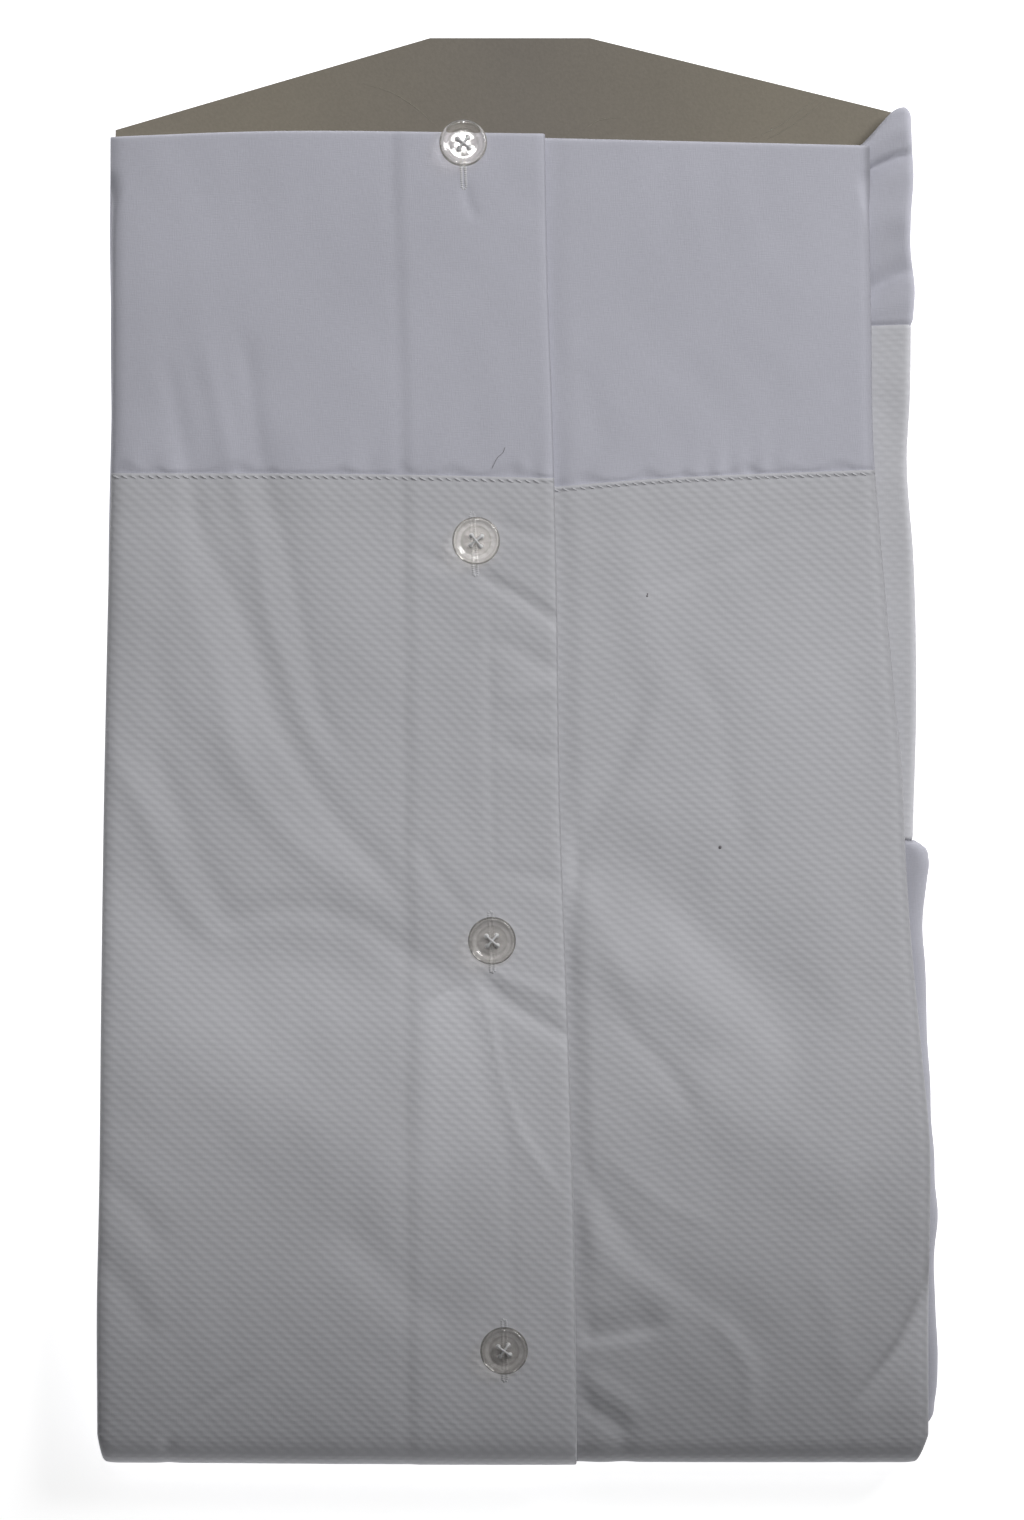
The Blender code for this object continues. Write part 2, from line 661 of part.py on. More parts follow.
def stacked_rings(name, rings, finish):
    """Closed solid through level rings of points, lowest first, anticlockwise."""
    count = len(rings[0])
    faces = [list(reversed(range(count)))]
    for level in range(len(rings) - 1):
        low = level * count
        high = low + count
        for here in range(count):
            there = (here + 1) % count
            faces.append([low + here, low + there, high + there, high + here])
    top = (len(rings) - 1) * count
    faces.append(list(range(top, top + count)))
    return make_object(name, np.concatenate(rings), faces, finish)


def cut(target, cutter):
    """Take the cutter's shape out of the target and keep the cutter hidden."""
    cutter.hide_render = True
    cutter.display_type = "WIRE"
    modifier = target.modifiers.new("cut", "BOOLEAN")
    modifier.operation = "DIFFERENCE"
    modifier.solver = "EXACT"
    modifier.object = cutter


def board_outline(margin):
    """Corners of the board, anticlockwise from its low left, grown by margin."""
    return (
        (BOARD_LEFT_X - margin, BOARD_FOOT_Y - margin),
        (BOARD_RIGHT_X + margin, BOARD_FOOT_Y - margin),
        (BOARD_RIGHT_X + margin, BOARD_RIGHT_SHOULDER_Y + margin),
        (BOARD_TOP_RIGHT_X, BOARD_TOP_Y + margin),
        (BOARD_TOP_LEFT_X, BOARD_TOP_Y + margin),
        (BOARD_LEFT_X - margin, BOARD_LEFT_SHOULDER_Y + margin),
    )


def flat_ring(outline, z):
    """Ring of points at one level."""
    return np.array([(x, y, z) for x, y in outline])


def make_board(finish):
    """Grey board, and nothing but its own thickness."""
    outline = board_outline(0.0)
    rings = [flat_ring(outline, BOARD_Z), flat_ring(outline, BOARD_Z + BOARD_THICKNESS)]
    return stacked_rings("packing_board", rings, finish)


def shoulder_line(x):
    """Head edge of the layers under the board, inside the board's shoulders."""
    corners = board_outline(0.0)
    xs = [corners[5][0], corners[4][0], corners[3][0], corners[2][0]]
    ys = [corners[5][1], corners[4][1], corners[3][1], corners[2][1]]
    return np.interp(x, xs, ys) - SHOULDER_INSET


def core_ring(level):
    """Outline of the hidden layers at one level, anticlockwise from the foot."""
    z = level["z"]
    rise = CORE_FOOT_RADIUS ** 2 - (z - MID_Z) ** 2
    foot_y = FOOT_Y + 1.0 - math.sqrt(max(rise, 0.0))
    core_left = along(CORE_LEFT, "y", "x")
    core_right = along(CORE_RIGHT, "y", "x")

    def right_x(y):
        beside = along(SLEEVE_LEDGE, "y", "share")(y)
        return core_right(y) - level["right"] - level["sleeve"] * beside

    def left_x(y):
        return core_left(y) + level["left"]

    def head_y(x):
        return shoulder_line(x) if level["head"] is None else level["head"] + 0.0 * x

    foot_left = left_x(foot_y) + CORE_CORNER
    foot_right = right_x(foot_y) - CORE_CORNER
    points = [(x, foot_y) for x in np.linspace(foot_left, foot_right, CORE_FOOT_POINTS)]
    right_head = float(head_y(right_x(CORE_HEAD_Y)))
    right_ys = [foot_y + CORE_CORNER, *CORE_RIGHT_YS, right_head - CORE_CORNER]
    points += [(float(right_x(y)), y) for y in right_ys]
    head_right = right_x(right_head) - CORE_CORNER
    head_left = left_x(right_head) + CORE_CORNER
    head_x = np.linspace(head_right, head_left, CORE_HEAD_POINTS)
    points += [(x, float(head_y(x))) for x in head_x]
    left_head = float(head_y(left_x(CORE_HEAD_Y)))
    left_ys = [left_head - CORE_CORNER, *CORE_LEFT_YS, foot_y + CORE_CORNER]
    points += [(float(left_x(y)), y) for y in left_ys]
    return flat_ring(points, z)


def make_core(finish):
    """Back, left sleeve and the folded-in rest, as one solid round the board."""
    core = stacked_rings("folded_layers", [core_ring(level) for level in CORE_LEVELS], finish)
    slot = board_outline(GAP)
    low = BOARD_Z - GAP
    high = BOARD_Z + BOARD_THICKNESS + GAP
    cutter = stacked_rings("board_slot", [flat_ring(slot, low), flat_ring(slot, high)], finish)
    cut(core, cutter)
    return core


def inset_outline(outline, inset):
    """Outline drawn in along the mean of its neighbouring edge normals."""
    points = np.array(outline, float)
    edges = np.roll(points, -1, axis=0) - points
    normals = np.stack([-edges[:, 1], edges[:, 0]], axis=-1)
    normals /= np.linalg.norm(normals, axis=1, keepdims=True)
    mean = normals + np.roll(normals, 1, axis=0)
    mean /= np.linalg.norm(mean, axis=1, keepdims=True)
    return points + mean * inset


def make_collar(finish):
    """Turned-down collar pressed flat, its leaves meeting at the front."""
    half = [(row["x"], row["y"]) for row in COLLAR_HALF]
    right = [(COLLAR_MIDDLE_X + x, y) for x, y in reversed(half)]
    left = [(COLLAR_MIDDLE_X - x, y) for x, y in half]
    outline = right + left
    rings = [
        flat_ring(inset_outline(outline, level["inset"]), level["z"])
        for level in COLLAR_LEVELS
    ]
    return stacked_rings("collar", rings, finish)


def button_points(profile, sides):
    """Rings of a turned profile, from its back to its front."""
    angles = 2.0 * math.pi * np.arange(sides) / sides
    rings = []
    for row in profile:
        ring = [row["radius"] * np.cos(angles), row["radius"] * np.sin(angles)]
        rings.append(np.stack([*ring, np.full(sides, row["z"])], axis=-1))
    return rings


def turned_button():
    """Points and faces of the button's profile turned about z, closed by fans."""
    rings = button_points(BUTTON_PROFILE, BUTTON_SIDES)
    ends = [(0.0, 0.0, BUTTON_BACK_Z), (0.0, 0.0, BUTTON_FRONT_Z)]
    points = np.concatenate([*rings, ends])
    back = len(points) - 2
    front = len(points) - 1
    last = (len(rings) - 1) * BUTTON_SIDES
    faces = []
    for here in range(BUTTON_SIDES):
        there = (here + 1) % BUTTON_SIDES
        faces.append([back, there, here])
        faces.append([front, last + here, last + there])
        for ring in range(len(rings) - 1):
            low = ring * BUTTON_SIDES
            high = low + BUTTON_SIDES
            faces.append([low + here, low + there, high + there, high + here])
    return points, faces


def hole_cutters(name, finish):
    """Four thin rods through a button, as one mesh."""
    angles = 2.0 * math.pi * np.arange(HOLE_SIDES) / HOLE_SIDES
    points = []
    faces = []
    for sx, sy in ((1, 1), (-1, 1), (-1, -1), (1, -1)):
        first = len(points)
        for z in HOLE_ENDS:
            for angle in angles:
                x = sx * HOLE_OFFSET + HOLE_RADIUS * math.cos(angle)
                y = sy * HOLE_OFFSET + HOLE_RADIUS * math.sin(angle)
                points.append((x, y, z))
        low = list(range(first, first + HOLE_SIDES))
        high = [index + HOLE_SIDES for index in low]
        faces.append(list(reversed(low)))
        faces.append(high)
        for here in range(HOLE_SIDES):
            there = (here + 1) % HOLE_SIDES
            faces.append([low[here], low[there], high[there], high[here]])
    return make_object(name, points, faces, finish)


def make_button(row, finish):
    """One button just above the placket, turned and tilted in its place."""
    points, faces = turned_button()
    button = make_object(row["name"], points, faces, finish)
    cutter = hole_cutters(row["name"] + "_holes", finish)
    cut(button, cutter)
    under = float(left_height(np.array(row["x"]), np.array(row["y"])))
    z = under + BUTTON_LIFT + row["lift"]
    place = ((row["x"] - ORIGIN_X) * MM, (row["y"] - ORIGIN_Y) * MM, z * MM)
    for piece in (button, cutter):
        piece.location = place
        piece.rotation_euler = (math.radians(row["tilt"]), 0.0, 0.0)
    return button


def make_fronts(plain, ribbed):
    """The four cloth pieces of the two fronts."""
    left = (left_columns, left_height, left_edge)
    right = (right_columns, right_height, right_edge)
    sides = (
        ("left", left, LEFT_FOOT, UNDER_LEFT, LEFT_SEAM, LEFT_HEAD, -1.0),
        ("right", right, RIGHT_FOOT, UNDER_RIGHT, RIGHT_SEAM, RIGHT_HEAD, 1.0),
    )
    for name, shape, foot, under, seam, head, side in sides:
        bib = [bib_face(*shape, foot, under, seam, side, depth) for depth in (0.0, WALL)]
        cloth_wall(name + "_bib", *bib, ribbed, side > 0)
        skirt = [skirt_face(*shape, head, seam, side, depth) for depth in (0.0, WALL)]
        cloth_wall(name + "_front", *skirt, plain, side < 0)


def make_sleeve_and_cuff(plain, ribbed):
    """Folded sleeve and its double cuff, seam to seam beside the right front."""
    span = (STRIP_INNER_X, STRIP_OUTER_X)
    seam_low = {"x": span, "y": (CUFF_SEAM_Y - 0.5 * GAP,) * 2}
    seam_high = {"x": span, "y": (CUFF_SEAM_Y + 0.5 * GAP,) * 2}
    cuff_end = {"x": span, "y": (CUFF_END_Y,) * 2}
    head = {
        "x": [row["x"] for row in SLEEVE_HEAD],
        "y": [row["y"] for row in SLEEVE_HEAD],
    }
    sleeve_edge = along(SLEEVE_EDGE, "y", "x")
    cuff_edge = along(CUFF_EDGE, "y", "x")
    sleeve = [
        strip_face(sleeve_edge, seam_high, head, SLEEVE_FOLDS, depth)
        for depth in (0.0, WALL)
    ]
    cloth_wall("right_sleeve", *sleeve, plain, False)
    cuff = [
        strip_face(cuff_edge, cuff_end, seam_low, CUFF_FOLDS, depth)
        for depth in (0.0, WALL)
    ]
    cloth_wall("right_cuff", *cuff, ribbed, False)


def main():
    """Build the folded shirt, its board and its buttons."""
    for old in list(bpy.data.objects):
        bpy.data.objects.remove(old, do_unlink=True)
    plain = material("plain_cotton", (0.62, 0.62, 0.67), 0.85)
    ribbed = material("ribbed_cotton", (0.60, 0.60, 0.60), 0.88)
    clear = material("clear_button", (0.72, 0.72, 0.72), 0.12)
    grey = material("grey_board", (0.20, 0.18, 0.15), 0.9)
    make_board(grey)
    make_core(plain)
    make_collar(plain)
    make_fronts(plain, ribbed)
    cloth_wall("right_front_side", side_face(0.0), side_face(WALL), plain, True)
    make_sleeve_and_cuff(plain, ribbed)
    for row in BUTTONS:
        make_button(row, clear)


main()
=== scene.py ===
import math

import bpy
import numpy as np
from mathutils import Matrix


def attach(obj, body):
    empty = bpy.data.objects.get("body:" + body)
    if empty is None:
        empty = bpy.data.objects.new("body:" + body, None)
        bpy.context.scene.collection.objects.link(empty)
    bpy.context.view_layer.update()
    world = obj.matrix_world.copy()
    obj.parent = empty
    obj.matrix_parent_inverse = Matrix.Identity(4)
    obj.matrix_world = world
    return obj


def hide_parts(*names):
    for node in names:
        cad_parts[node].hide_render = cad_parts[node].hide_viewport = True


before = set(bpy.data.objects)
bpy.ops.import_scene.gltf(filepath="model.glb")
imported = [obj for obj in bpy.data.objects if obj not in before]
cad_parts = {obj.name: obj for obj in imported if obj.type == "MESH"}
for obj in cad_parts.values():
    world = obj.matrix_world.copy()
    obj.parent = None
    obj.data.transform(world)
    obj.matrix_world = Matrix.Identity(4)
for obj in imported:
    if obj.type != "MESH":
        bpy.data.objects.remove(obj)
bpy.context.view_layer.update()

mm = 0.001

# The pack as a whole, in millimetres as the CAD source has it
pack = {
    "middle": (-0.033, 0.077),  # middle of the CAD box in the shirt's own measure
    "cloth": 0.45,              # thickness of one layer
    "midZ": 7.4,                # height of the board's middle
    "footY": -163.8,
    "underEndY": 102.7,
    "halfWidth": 100.0,
    "halfLength": 165.0,
    "crown": 0.8,               # how much the middle stands above the sides
    "lipRadius": 1.25,
    "lipTuck": 12.0,
    "uvSize": 100.0,            # millimetres of cloth to one unit of its UV map
}


# Soft 0 to 1: 3t^2 - 2t^3 between the ends.
def softStep(value):
    t = np.clip(value, 0.0, 1.0)
    return t * t * (3.0 - 2.0 * t)


# Smooth reader of (place, value) points: a cubic between two points that has,
# at each, the slope from one neighbour to the other, level beyond the ends.
def smoothLine(points):
    place, value = np.array(points, float).T
    slope = np.gradient(value, place)

    def read(at):
        at = np.clip(at, place[0], place[-1])
        i = np.clip(np.searchsorted(place, at) - 1, 0, len(place) - 2)
        span = place[i + 1] - place[i]
        t = (at - place[i]) / span
        ends = value[i] + (value[i + 1] - value[i]) * softStep(t)
        bends = t * (1.0 - t) ** 2 * slope[i] - t * t * (1.0 - t) * slope[i + 1]
        return ends + span * bends

    return read


# Straight reader of (place, value) points.
def straightLine(points):
    place, value = np.array(points, float).T
    return lambda at: np.interp(at, place, value)


# Points along a soft curve through the given ones, six to each stretch.
def roundedPath(points):
    points = np.array(points, float)
    at = np.linspace(0.0, len(points) - 1.0, 6 * (len(points) - 1) + 1)
    order = np.arange(len(points))
    axes = [smoothLine(np.stack([order, column], axis=-1))(at) for column in points.T]
    return np.stack(axes, axis=-1)


# Sum of creases, each (rise, width, lean, path): a bell exp(-(distance / width)^2)
# across its path, wider on the left of the path by its lean, which fades in and
# out along the path.
def creaseHeight(x, y, creases):
    total = np.zeros(np.broadcast(x, y).shape)
    for rise, width, lean, points in creases:
        path = roundedPath(points)
        steps = np.diff(path, axis=0)
        lengths = np.hypot(steps[:, 0], steps[:, 1])
        before = np.concatenate([[0.0], np.cumsum(lengths)])
        nearest = np.full(total.shape, np.inf)
        run = np.zeros(total.shape)
        side = np.zeros(total.shape)
        for (x0, y0), (dx, dy), length, done in zip(path, steps, lengths, before):
            share = np.clip(((x - x0) * dx + (y - y0) * dy) / length ** 2, 0.0, 1.0)
            offX = x - x0 - share * dx
            offY = y - y0 - share * dy
            distance = np.hypot(offX, offY)
            nearer = distance < nearest
            nearest = np.where(nearer, distance, nearest)
            run = np.where(nearer, done + share * length, run)
            side = np.where(nearer, np.sign(dx * offY - dy * offX), side)
        share = run / before[-1]
        fade = softStep(share / shape["creaseFade"]) * softStep((1.0 - share) / shape["creaseFade"])
        spread = width * (1.0 + lean * side)
        total += shape["creaseScale"] * rise * fade * np.exp(-((nearest / spread) ** 2))
    return total


# A sine wave along u whose crests wind by a slower sine along v.
def windingWave(u, v, length, slowLength, wind, start=0.0):
    return np.sin(u / length + wind * np.sin(v / slowLength) + start)


# Slow unevenness of pressed cloth: three crossing waves, and a finer one that
# runs from the head's left to the foot's right and comes and goes in patches.
def unevenness(x, y, size):
    across = windingWave(x, y, 7.3, 31.0, 1.7)
    along = windingWave(y, x, 9.1, 23.0, 1.3, 0.6)
    slanting = windingWave(x + y, x - y, 15.7, 53.0, 2.1)
    patches = 0.5 + 0.5 * windingWave(x, y, 13.0, 19.0, 1.9) * windingWave(y, x, 17.0, 29.0, 1.4)
    finest = patches * windingWave(1.3 * x + 0.6 * y, x - 1.6 * y, 2.9, 21.0, 2.2)
    return size * (0.3 * across + 0.3 * along + 0.6 * slanting + 0.32 * finest)


# Gentle rise of the stack to its middle: a parabola across, a root of one along.
def crown(x, y):
    across = np.clip(1.0 - (x / pack["halfWidth"]) ** 2, 0.0, 1.0)
    lengthwise = np.clip(1.0 - (y / pack["halfLength"]) ** 2, 0.0, 1.0)
    return pack["crown"] * across * np.sqrt(lengthwise)


# The faces of a grid of points, rows by columns; a ringed one is closed across
# its columns and gets a face over each end.
def gridFaces(rows, columns, ringed):
    index = np.arange(rows * columns).reshape(rows, columns)
    if ringed:
        index = np.concatenate([index, index[:, :1]], axis=1)
    corners = [index[:-1, :-1], index[:-1, 1:], index[1:, 1:], index[1:, :-1]]
    faces = np.stack(corners, axis=-1).reshape(-1, 4).tolist()
    if ringed:
        faces += [index[0, -2::-1].tolist(), index[-1, :-1].tolist()]
    return faces


# Points in the shirt's own millimetres, as the frame has them.
def inFrame(points):
    return (points.reshape(-1, 3) - (*pack["middle"], 0.0)) * mm


# A new smooth piece in the scene from points in metres and their faces.
def newPiece(name, points, faces, material):
    mesh = bpy.data.meshes.new(name)
    mesh.from_pydata(points.tolist(), [], faces)
    mesh.materials.append(material)
    mesh.shade_smooth()
    piece = bpy.data.objects.new(name, mesh)
    bpy.context.scene.collection.objects.link(piece)
    return piece


# A piece from one grid of points. cloth holds each point's place on the flat
# cloth, and the next argument its shade of colour, which holds painted light and shade on most pieces.
def gridPiece(name, points, cloth, toneAndPaintedLight, material, flip=False, ringed=False):
    faces = gridFaces(*points.shape[:2], ringed)
    if flip:
        faces = [face[::-1] for face in faces]
    piece = newPiece(name, inFrame(points), faces, material)
    corners = np.empty(len(piece.data.loops), np.int32)
    piece.data.loops.foreach_get("vertex_index", corners)
    layer = piece.data.uv_layers.new(name="cloth")
    layer.data.foreach_set("uv", (cloth.reshape(-1, 2)[corners] / pack["uvSize"]).ravel())
    shade = piece.data.attributes.new("toneAndPaintedLight", "FLOAT", "POINT")
    shade.data.foreach_set("value", (toneAndPaintedLight * np.ones(points.shape[:2])).ravel())
    return piece


# A piece from several ringed grids of points, each closed in itself.
def joinedPiece(name, grids, material):
    faces = []
    count = 0
    for points in grids:
        faces += [[corner + count for corner in face] for face in gridFaces(*points.shape[:2], True)]
        count += points.shape[0] * points.shape[1]
    vertices = np.concatenate([points.reshape(-1, 3) for points in grids])
    return newPiece(name, inFrame(vertices), faces, material)


# Gives a cloth piece its thickness, inwards from its outer face.
def thicken(piece):
    wall = piece.modifiers.new("thickness", "SOLIDIFY")
    wall.thickness = pack["cloth"] * mm
    wall.offset = -1.0
    return piece


# Lets a finished piece ride with the pack and stand for its CAD nodes.
def seat(piece, slot, *nodes):
    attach(piece, "root")
    if nodes:
        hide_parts(*nodes)
    return piece


# A new node of a tree, with its settings.
def addNode(tree, kind, **settings):
    node = tree.nodes.new(kind)
    for key, value in settings.items():
        setattr(node, key, value)
    return node


# Puts a number in an input, or links an output to it.
def wire(tree, source, target):
    if isinstance(source, (int, float)):
        target.default_value = source
    else:
        tree.links.new(source, target)


# The result of one sum of a node tree.
def maths(tree, operation, first, second=0.0, third=0.0):
    node = addNode(tree, "ShaderNodeMath", operation=operation)
    for socket, value in zip(node.inputs, (first, second, third)):
        wire(tree, value, socket)
    return node.outputs[0]


# A window round a middle: 1 there, falling evenly to 0 a half-width away, with
# its peak a little rounded.
def window(tree, value, middle, half):
    away = maths(tree, "ABSOLUTE", maths(tree, "SUBTRACT", value, middle))
    inside = maths(tree, "SUBTRACT", 1.0, maths(tree, "DIVIDE", away, half))
    return maths(tree, "SMOOTH_MIN", maths(tree, "MAXIMUM", inside, 0.0), 1.0, 0.1)


# The axes of a vector, by the names X, Y and Z.
def axesOf(tree, vector):
    node = addNode(tree, "ShaderNodeSeparateXYZ")
    tree.links.new(vector, node.inputs[0])
    return node.outputs


# A new material with its node tree and its shader.
def newMaterial(name):
    material = bpy.data.materials.new(name)
    material.use_nodes = True
    tree = material.node_tree
    return material, tree, tree.nodes["Principled BSDF"]


# Noise of a scale, with finer noise added by its detail.
def noise(tree, vector, scale, detail):
    node = addNode(tree, "ShaderNodeTexNoise")
    node.inputs["Scale"].default_value = scale
    node.inputs["Detail"].default_value = detail
    tree.links.new(vector, node.inputs["Vector"])
    return node.outputs["Fac"]


# A vector times a scale along each axis.
def stretched(tree, vector, scale):
    node = addNode(tree, "ShaderNodeMapping")
    node.inputs["Scale"].default_value = scale
    tree.links.new(vector, node.inputs["Vector"])
    return node.outputs["Vector"]


# The normal that a height of 0 to 1, times a distance in millimetres, gives.
def bump(tree, height, distance, before=None):
    node = addNode(tree, "ShaderNodeBump")
    node.inputs["Distance"].default_value = distance * mm
    wire(tree, height, node.inputs["Height"])
    if before is not None:
        tree.links.new(before, node.inputs["Normal"])
    return node.outputs["Normal"]


# A colour times a shade between 0 and about 1.
def shaded(tree, colour, shade):
    node = addNode(tree, "ShaderNodeMix", data_type="RGBA", blend_type="MULTIPLY")
    node.inputs["Factor"].default_value = 1.0
    if isinstance(colour, tuple):
        node.inputs["A"].default_value = (*colour, 1.0)
    else:
        tree.links.new(colour, node.inputs["A"])
    tree.links.new(shade, node.inputs["B"])
    return node.outputs["Result"]


# A shade times (pattern * amount + base).
def patterned(tree, shade, pattern, amount, base):
    return maths(tree, "MULTIPLY", shade, maths(tree, "MULTIPLY_ADD", pattern, amount, base))


# Rows of long raised grains, each row half a grain along from the last: the
# cosines of columns - rows, which is the strongest, of columns + rows and of
# twice the rows, added up on a cloth whose threads drift a little.
def ribs(tree, cloth, look):
    drift = addNode(tree, "ShaderNodeTexNoise")
    drift.inputs["Scale"].default_value = look["driftScale"]
    tree.links.new(cloth, drift.inputs["Vector"])
    drifted = addNode(tree, "ShaderNodeVectorMath", operation="MULTIPLY_ADD")
    tree.links.new(drift.outputs["Color"], drifted.inputs[0])
    drifted.inputs[1].default_value = (look["drift"], look["drift"], 0.0)
    tree.links.new(cloth, drifted.inputs[2])
    axes = axesOf(tree, drifted.outputs["Vector"])
    across, along = (2.0 * math.pi * pack["uvSize"] / size for size in look["grain"])
    columns = maths(tree, "MULTIPLY", axes["X"], across)
    rows = maths(tree, "MULTIPLY", axes["Y"], along)
    angles = [maths(tree, "MULTIPLY", rows, 2.0), maths(tree, "ADD", columns, rows),
              maths(tree, "SUBTRACT", columns, rows)]
    raised = 0.0
    for angle, weight in zip(angles, look["weights"]):
        raised = maths(tree, "MULTIPLY_ADD", maths(tree, "COSINE", angle), weight, raised)
    return raised


# The dashed groove of a sewn line: a window across it times slanting dashes.
def seamGroove(tree, cloth, look):
    axes = axesOf(tree, cloth)
    line, half, pitch = (size / pack["uvSize"] for size in look["stitch"])
    slanted = maths(tree, "MULTIPLY_ADD", axes["Y"], -look["slant"], axes["X"])
    dash = maths(tree, "SINE", maths(tree, "MULTIPLY", slanted, 2.0 * math.pi / pitch))
    dash = maths(tree, "MULTIPLY_ADD", dash, look["dash"], 1.0 - look["dash"])
    return maths(tree, "MULTIPLY", window(tree, axes["Y"], line, half), dash)


# Cotton cloth: one colour, shaded and raised by its clouds, its threads and,
# where its look has them, its ribs and the groove of a sewn line; the ribs'
# valleys and the groove carry painted shade.
def cotton(name, look):
    material, tree, shader = newMaterial(name)
    cloth = addNode(tree, "ShaderNodeUVMap", uv_map="cloth").outputs["UV"]
    toneAndPaintedLight = addNode(tree, "ShaderNodeAttribute", attribute_name="toneAndPaintedLight").outputs["Fac"]
    along, scale, detail = weave["threadLength"], weave["threadScale"], weave["detail"]
    threads = maths(tree, "ADD",
                    noise(tree, stretched(tree, cloth, (1.0, along, 1.0)), scale, detail),
                    noise(tree, stretched(tree, cloth, (along, 1.0, 1.0)), scale, detail))
    clouds = noise(tree, cloth, weave["cloudScale"], detail)
    shade = patterned(tree, toneAndPaintedLight, clouds, look["clouds"], 1.0 - 0.5 * look["clouds"])
    shade = patterned(tree, shade, threads, look["slubs"], 1.0 - look["slubs"])
    normal = bump(tree, threads, look["threadHeight"])
    if "grain" in look:
        raised = ribs(tree, cloth, look)
        normal = bump(tree, raised, look["ribHeight"], normal)
        # painted shade in the valleys between the ribs
        shade = patterned(tree, shade, raised, look["ribPaintedShade"], 1.0 - look["ribPaintedShade"])
    if "stitch" in look:
        groove = seamGroove(tree, cloth, look)
        normal = bump(tree, groove, -look["stitchDepth"], normal)
        # painted shade in the seam's groove
        shade = patterned(tree, shade, groove, -look["stitchPaintedShade"], 1.0)
    tree.links.new(shaded(tree, look["colour"], shade), shader.inputs["Base Color"])
    tree.links.new(normal, shader.inputs["Normal"])
    shader.inputs["Roughness"].default_value = look["roughness"]
    shader.inputs["Sheen Weight"].default_value = 0.12
    shader.inputs["Sheen Roughness"].default_value = 0.5
    shader.inputs["Specular IOR Level"].default_value = 0.25
    return material


# What both cottons share, then each one's own look
weave = {
    "threadScale": 45.0,
    "threadLength": 9.0,        # of a thread's slubs, as a multiple of its width
    "cloudScale": 3.0,
    "detail": 3.0,
}
plainLook = {
    "colour": (0.576, 0.576, 0.646),
    "roughness": 0.85,
    "clouds": 0.14,
    "slubs": 0.14,
    "threadHeight": 0.045,
}
ribbedLook = {
    "colour": (0.60, 0.60, 0.63),
    "roughness": 0.88,
    "clouds": 0.12,
    "slubs": 0.07,
    "threadHeight": 0.015,
    "grain": (3.2, 2.66),       # width of one grain, and height of two rows
    "weights": (0.19, 0.22, 0.4),  # of twice the rows, the sum and the difference
    "driftScale": 9.0,
    "drift": 0.012,
    "ribHeight": 0.06,
    # painted shade in the valleys between the ribs
    "ribPaintedShade": 0.02,
}
# stitch: where the line runs, half its width and its pitch, in millimetres
seamLook = {
    "stitch": (0.95, 0.65, 2.1),
    "slant": 1.6,
    "dash": 0.4,
    "stitchDepth": 0.09,
    # painted shade in the stitches' groove
    "stitchPaintedShade": 0.32,
}
plainCotton = cotton("plainCotton", plainLook)
ribbedCotton = cotton("ribbedCotton", ribbedLook)
bibCotton = cotton("bibCotton", {**ribbedLook, **seamLook})
print("cloth materials made")

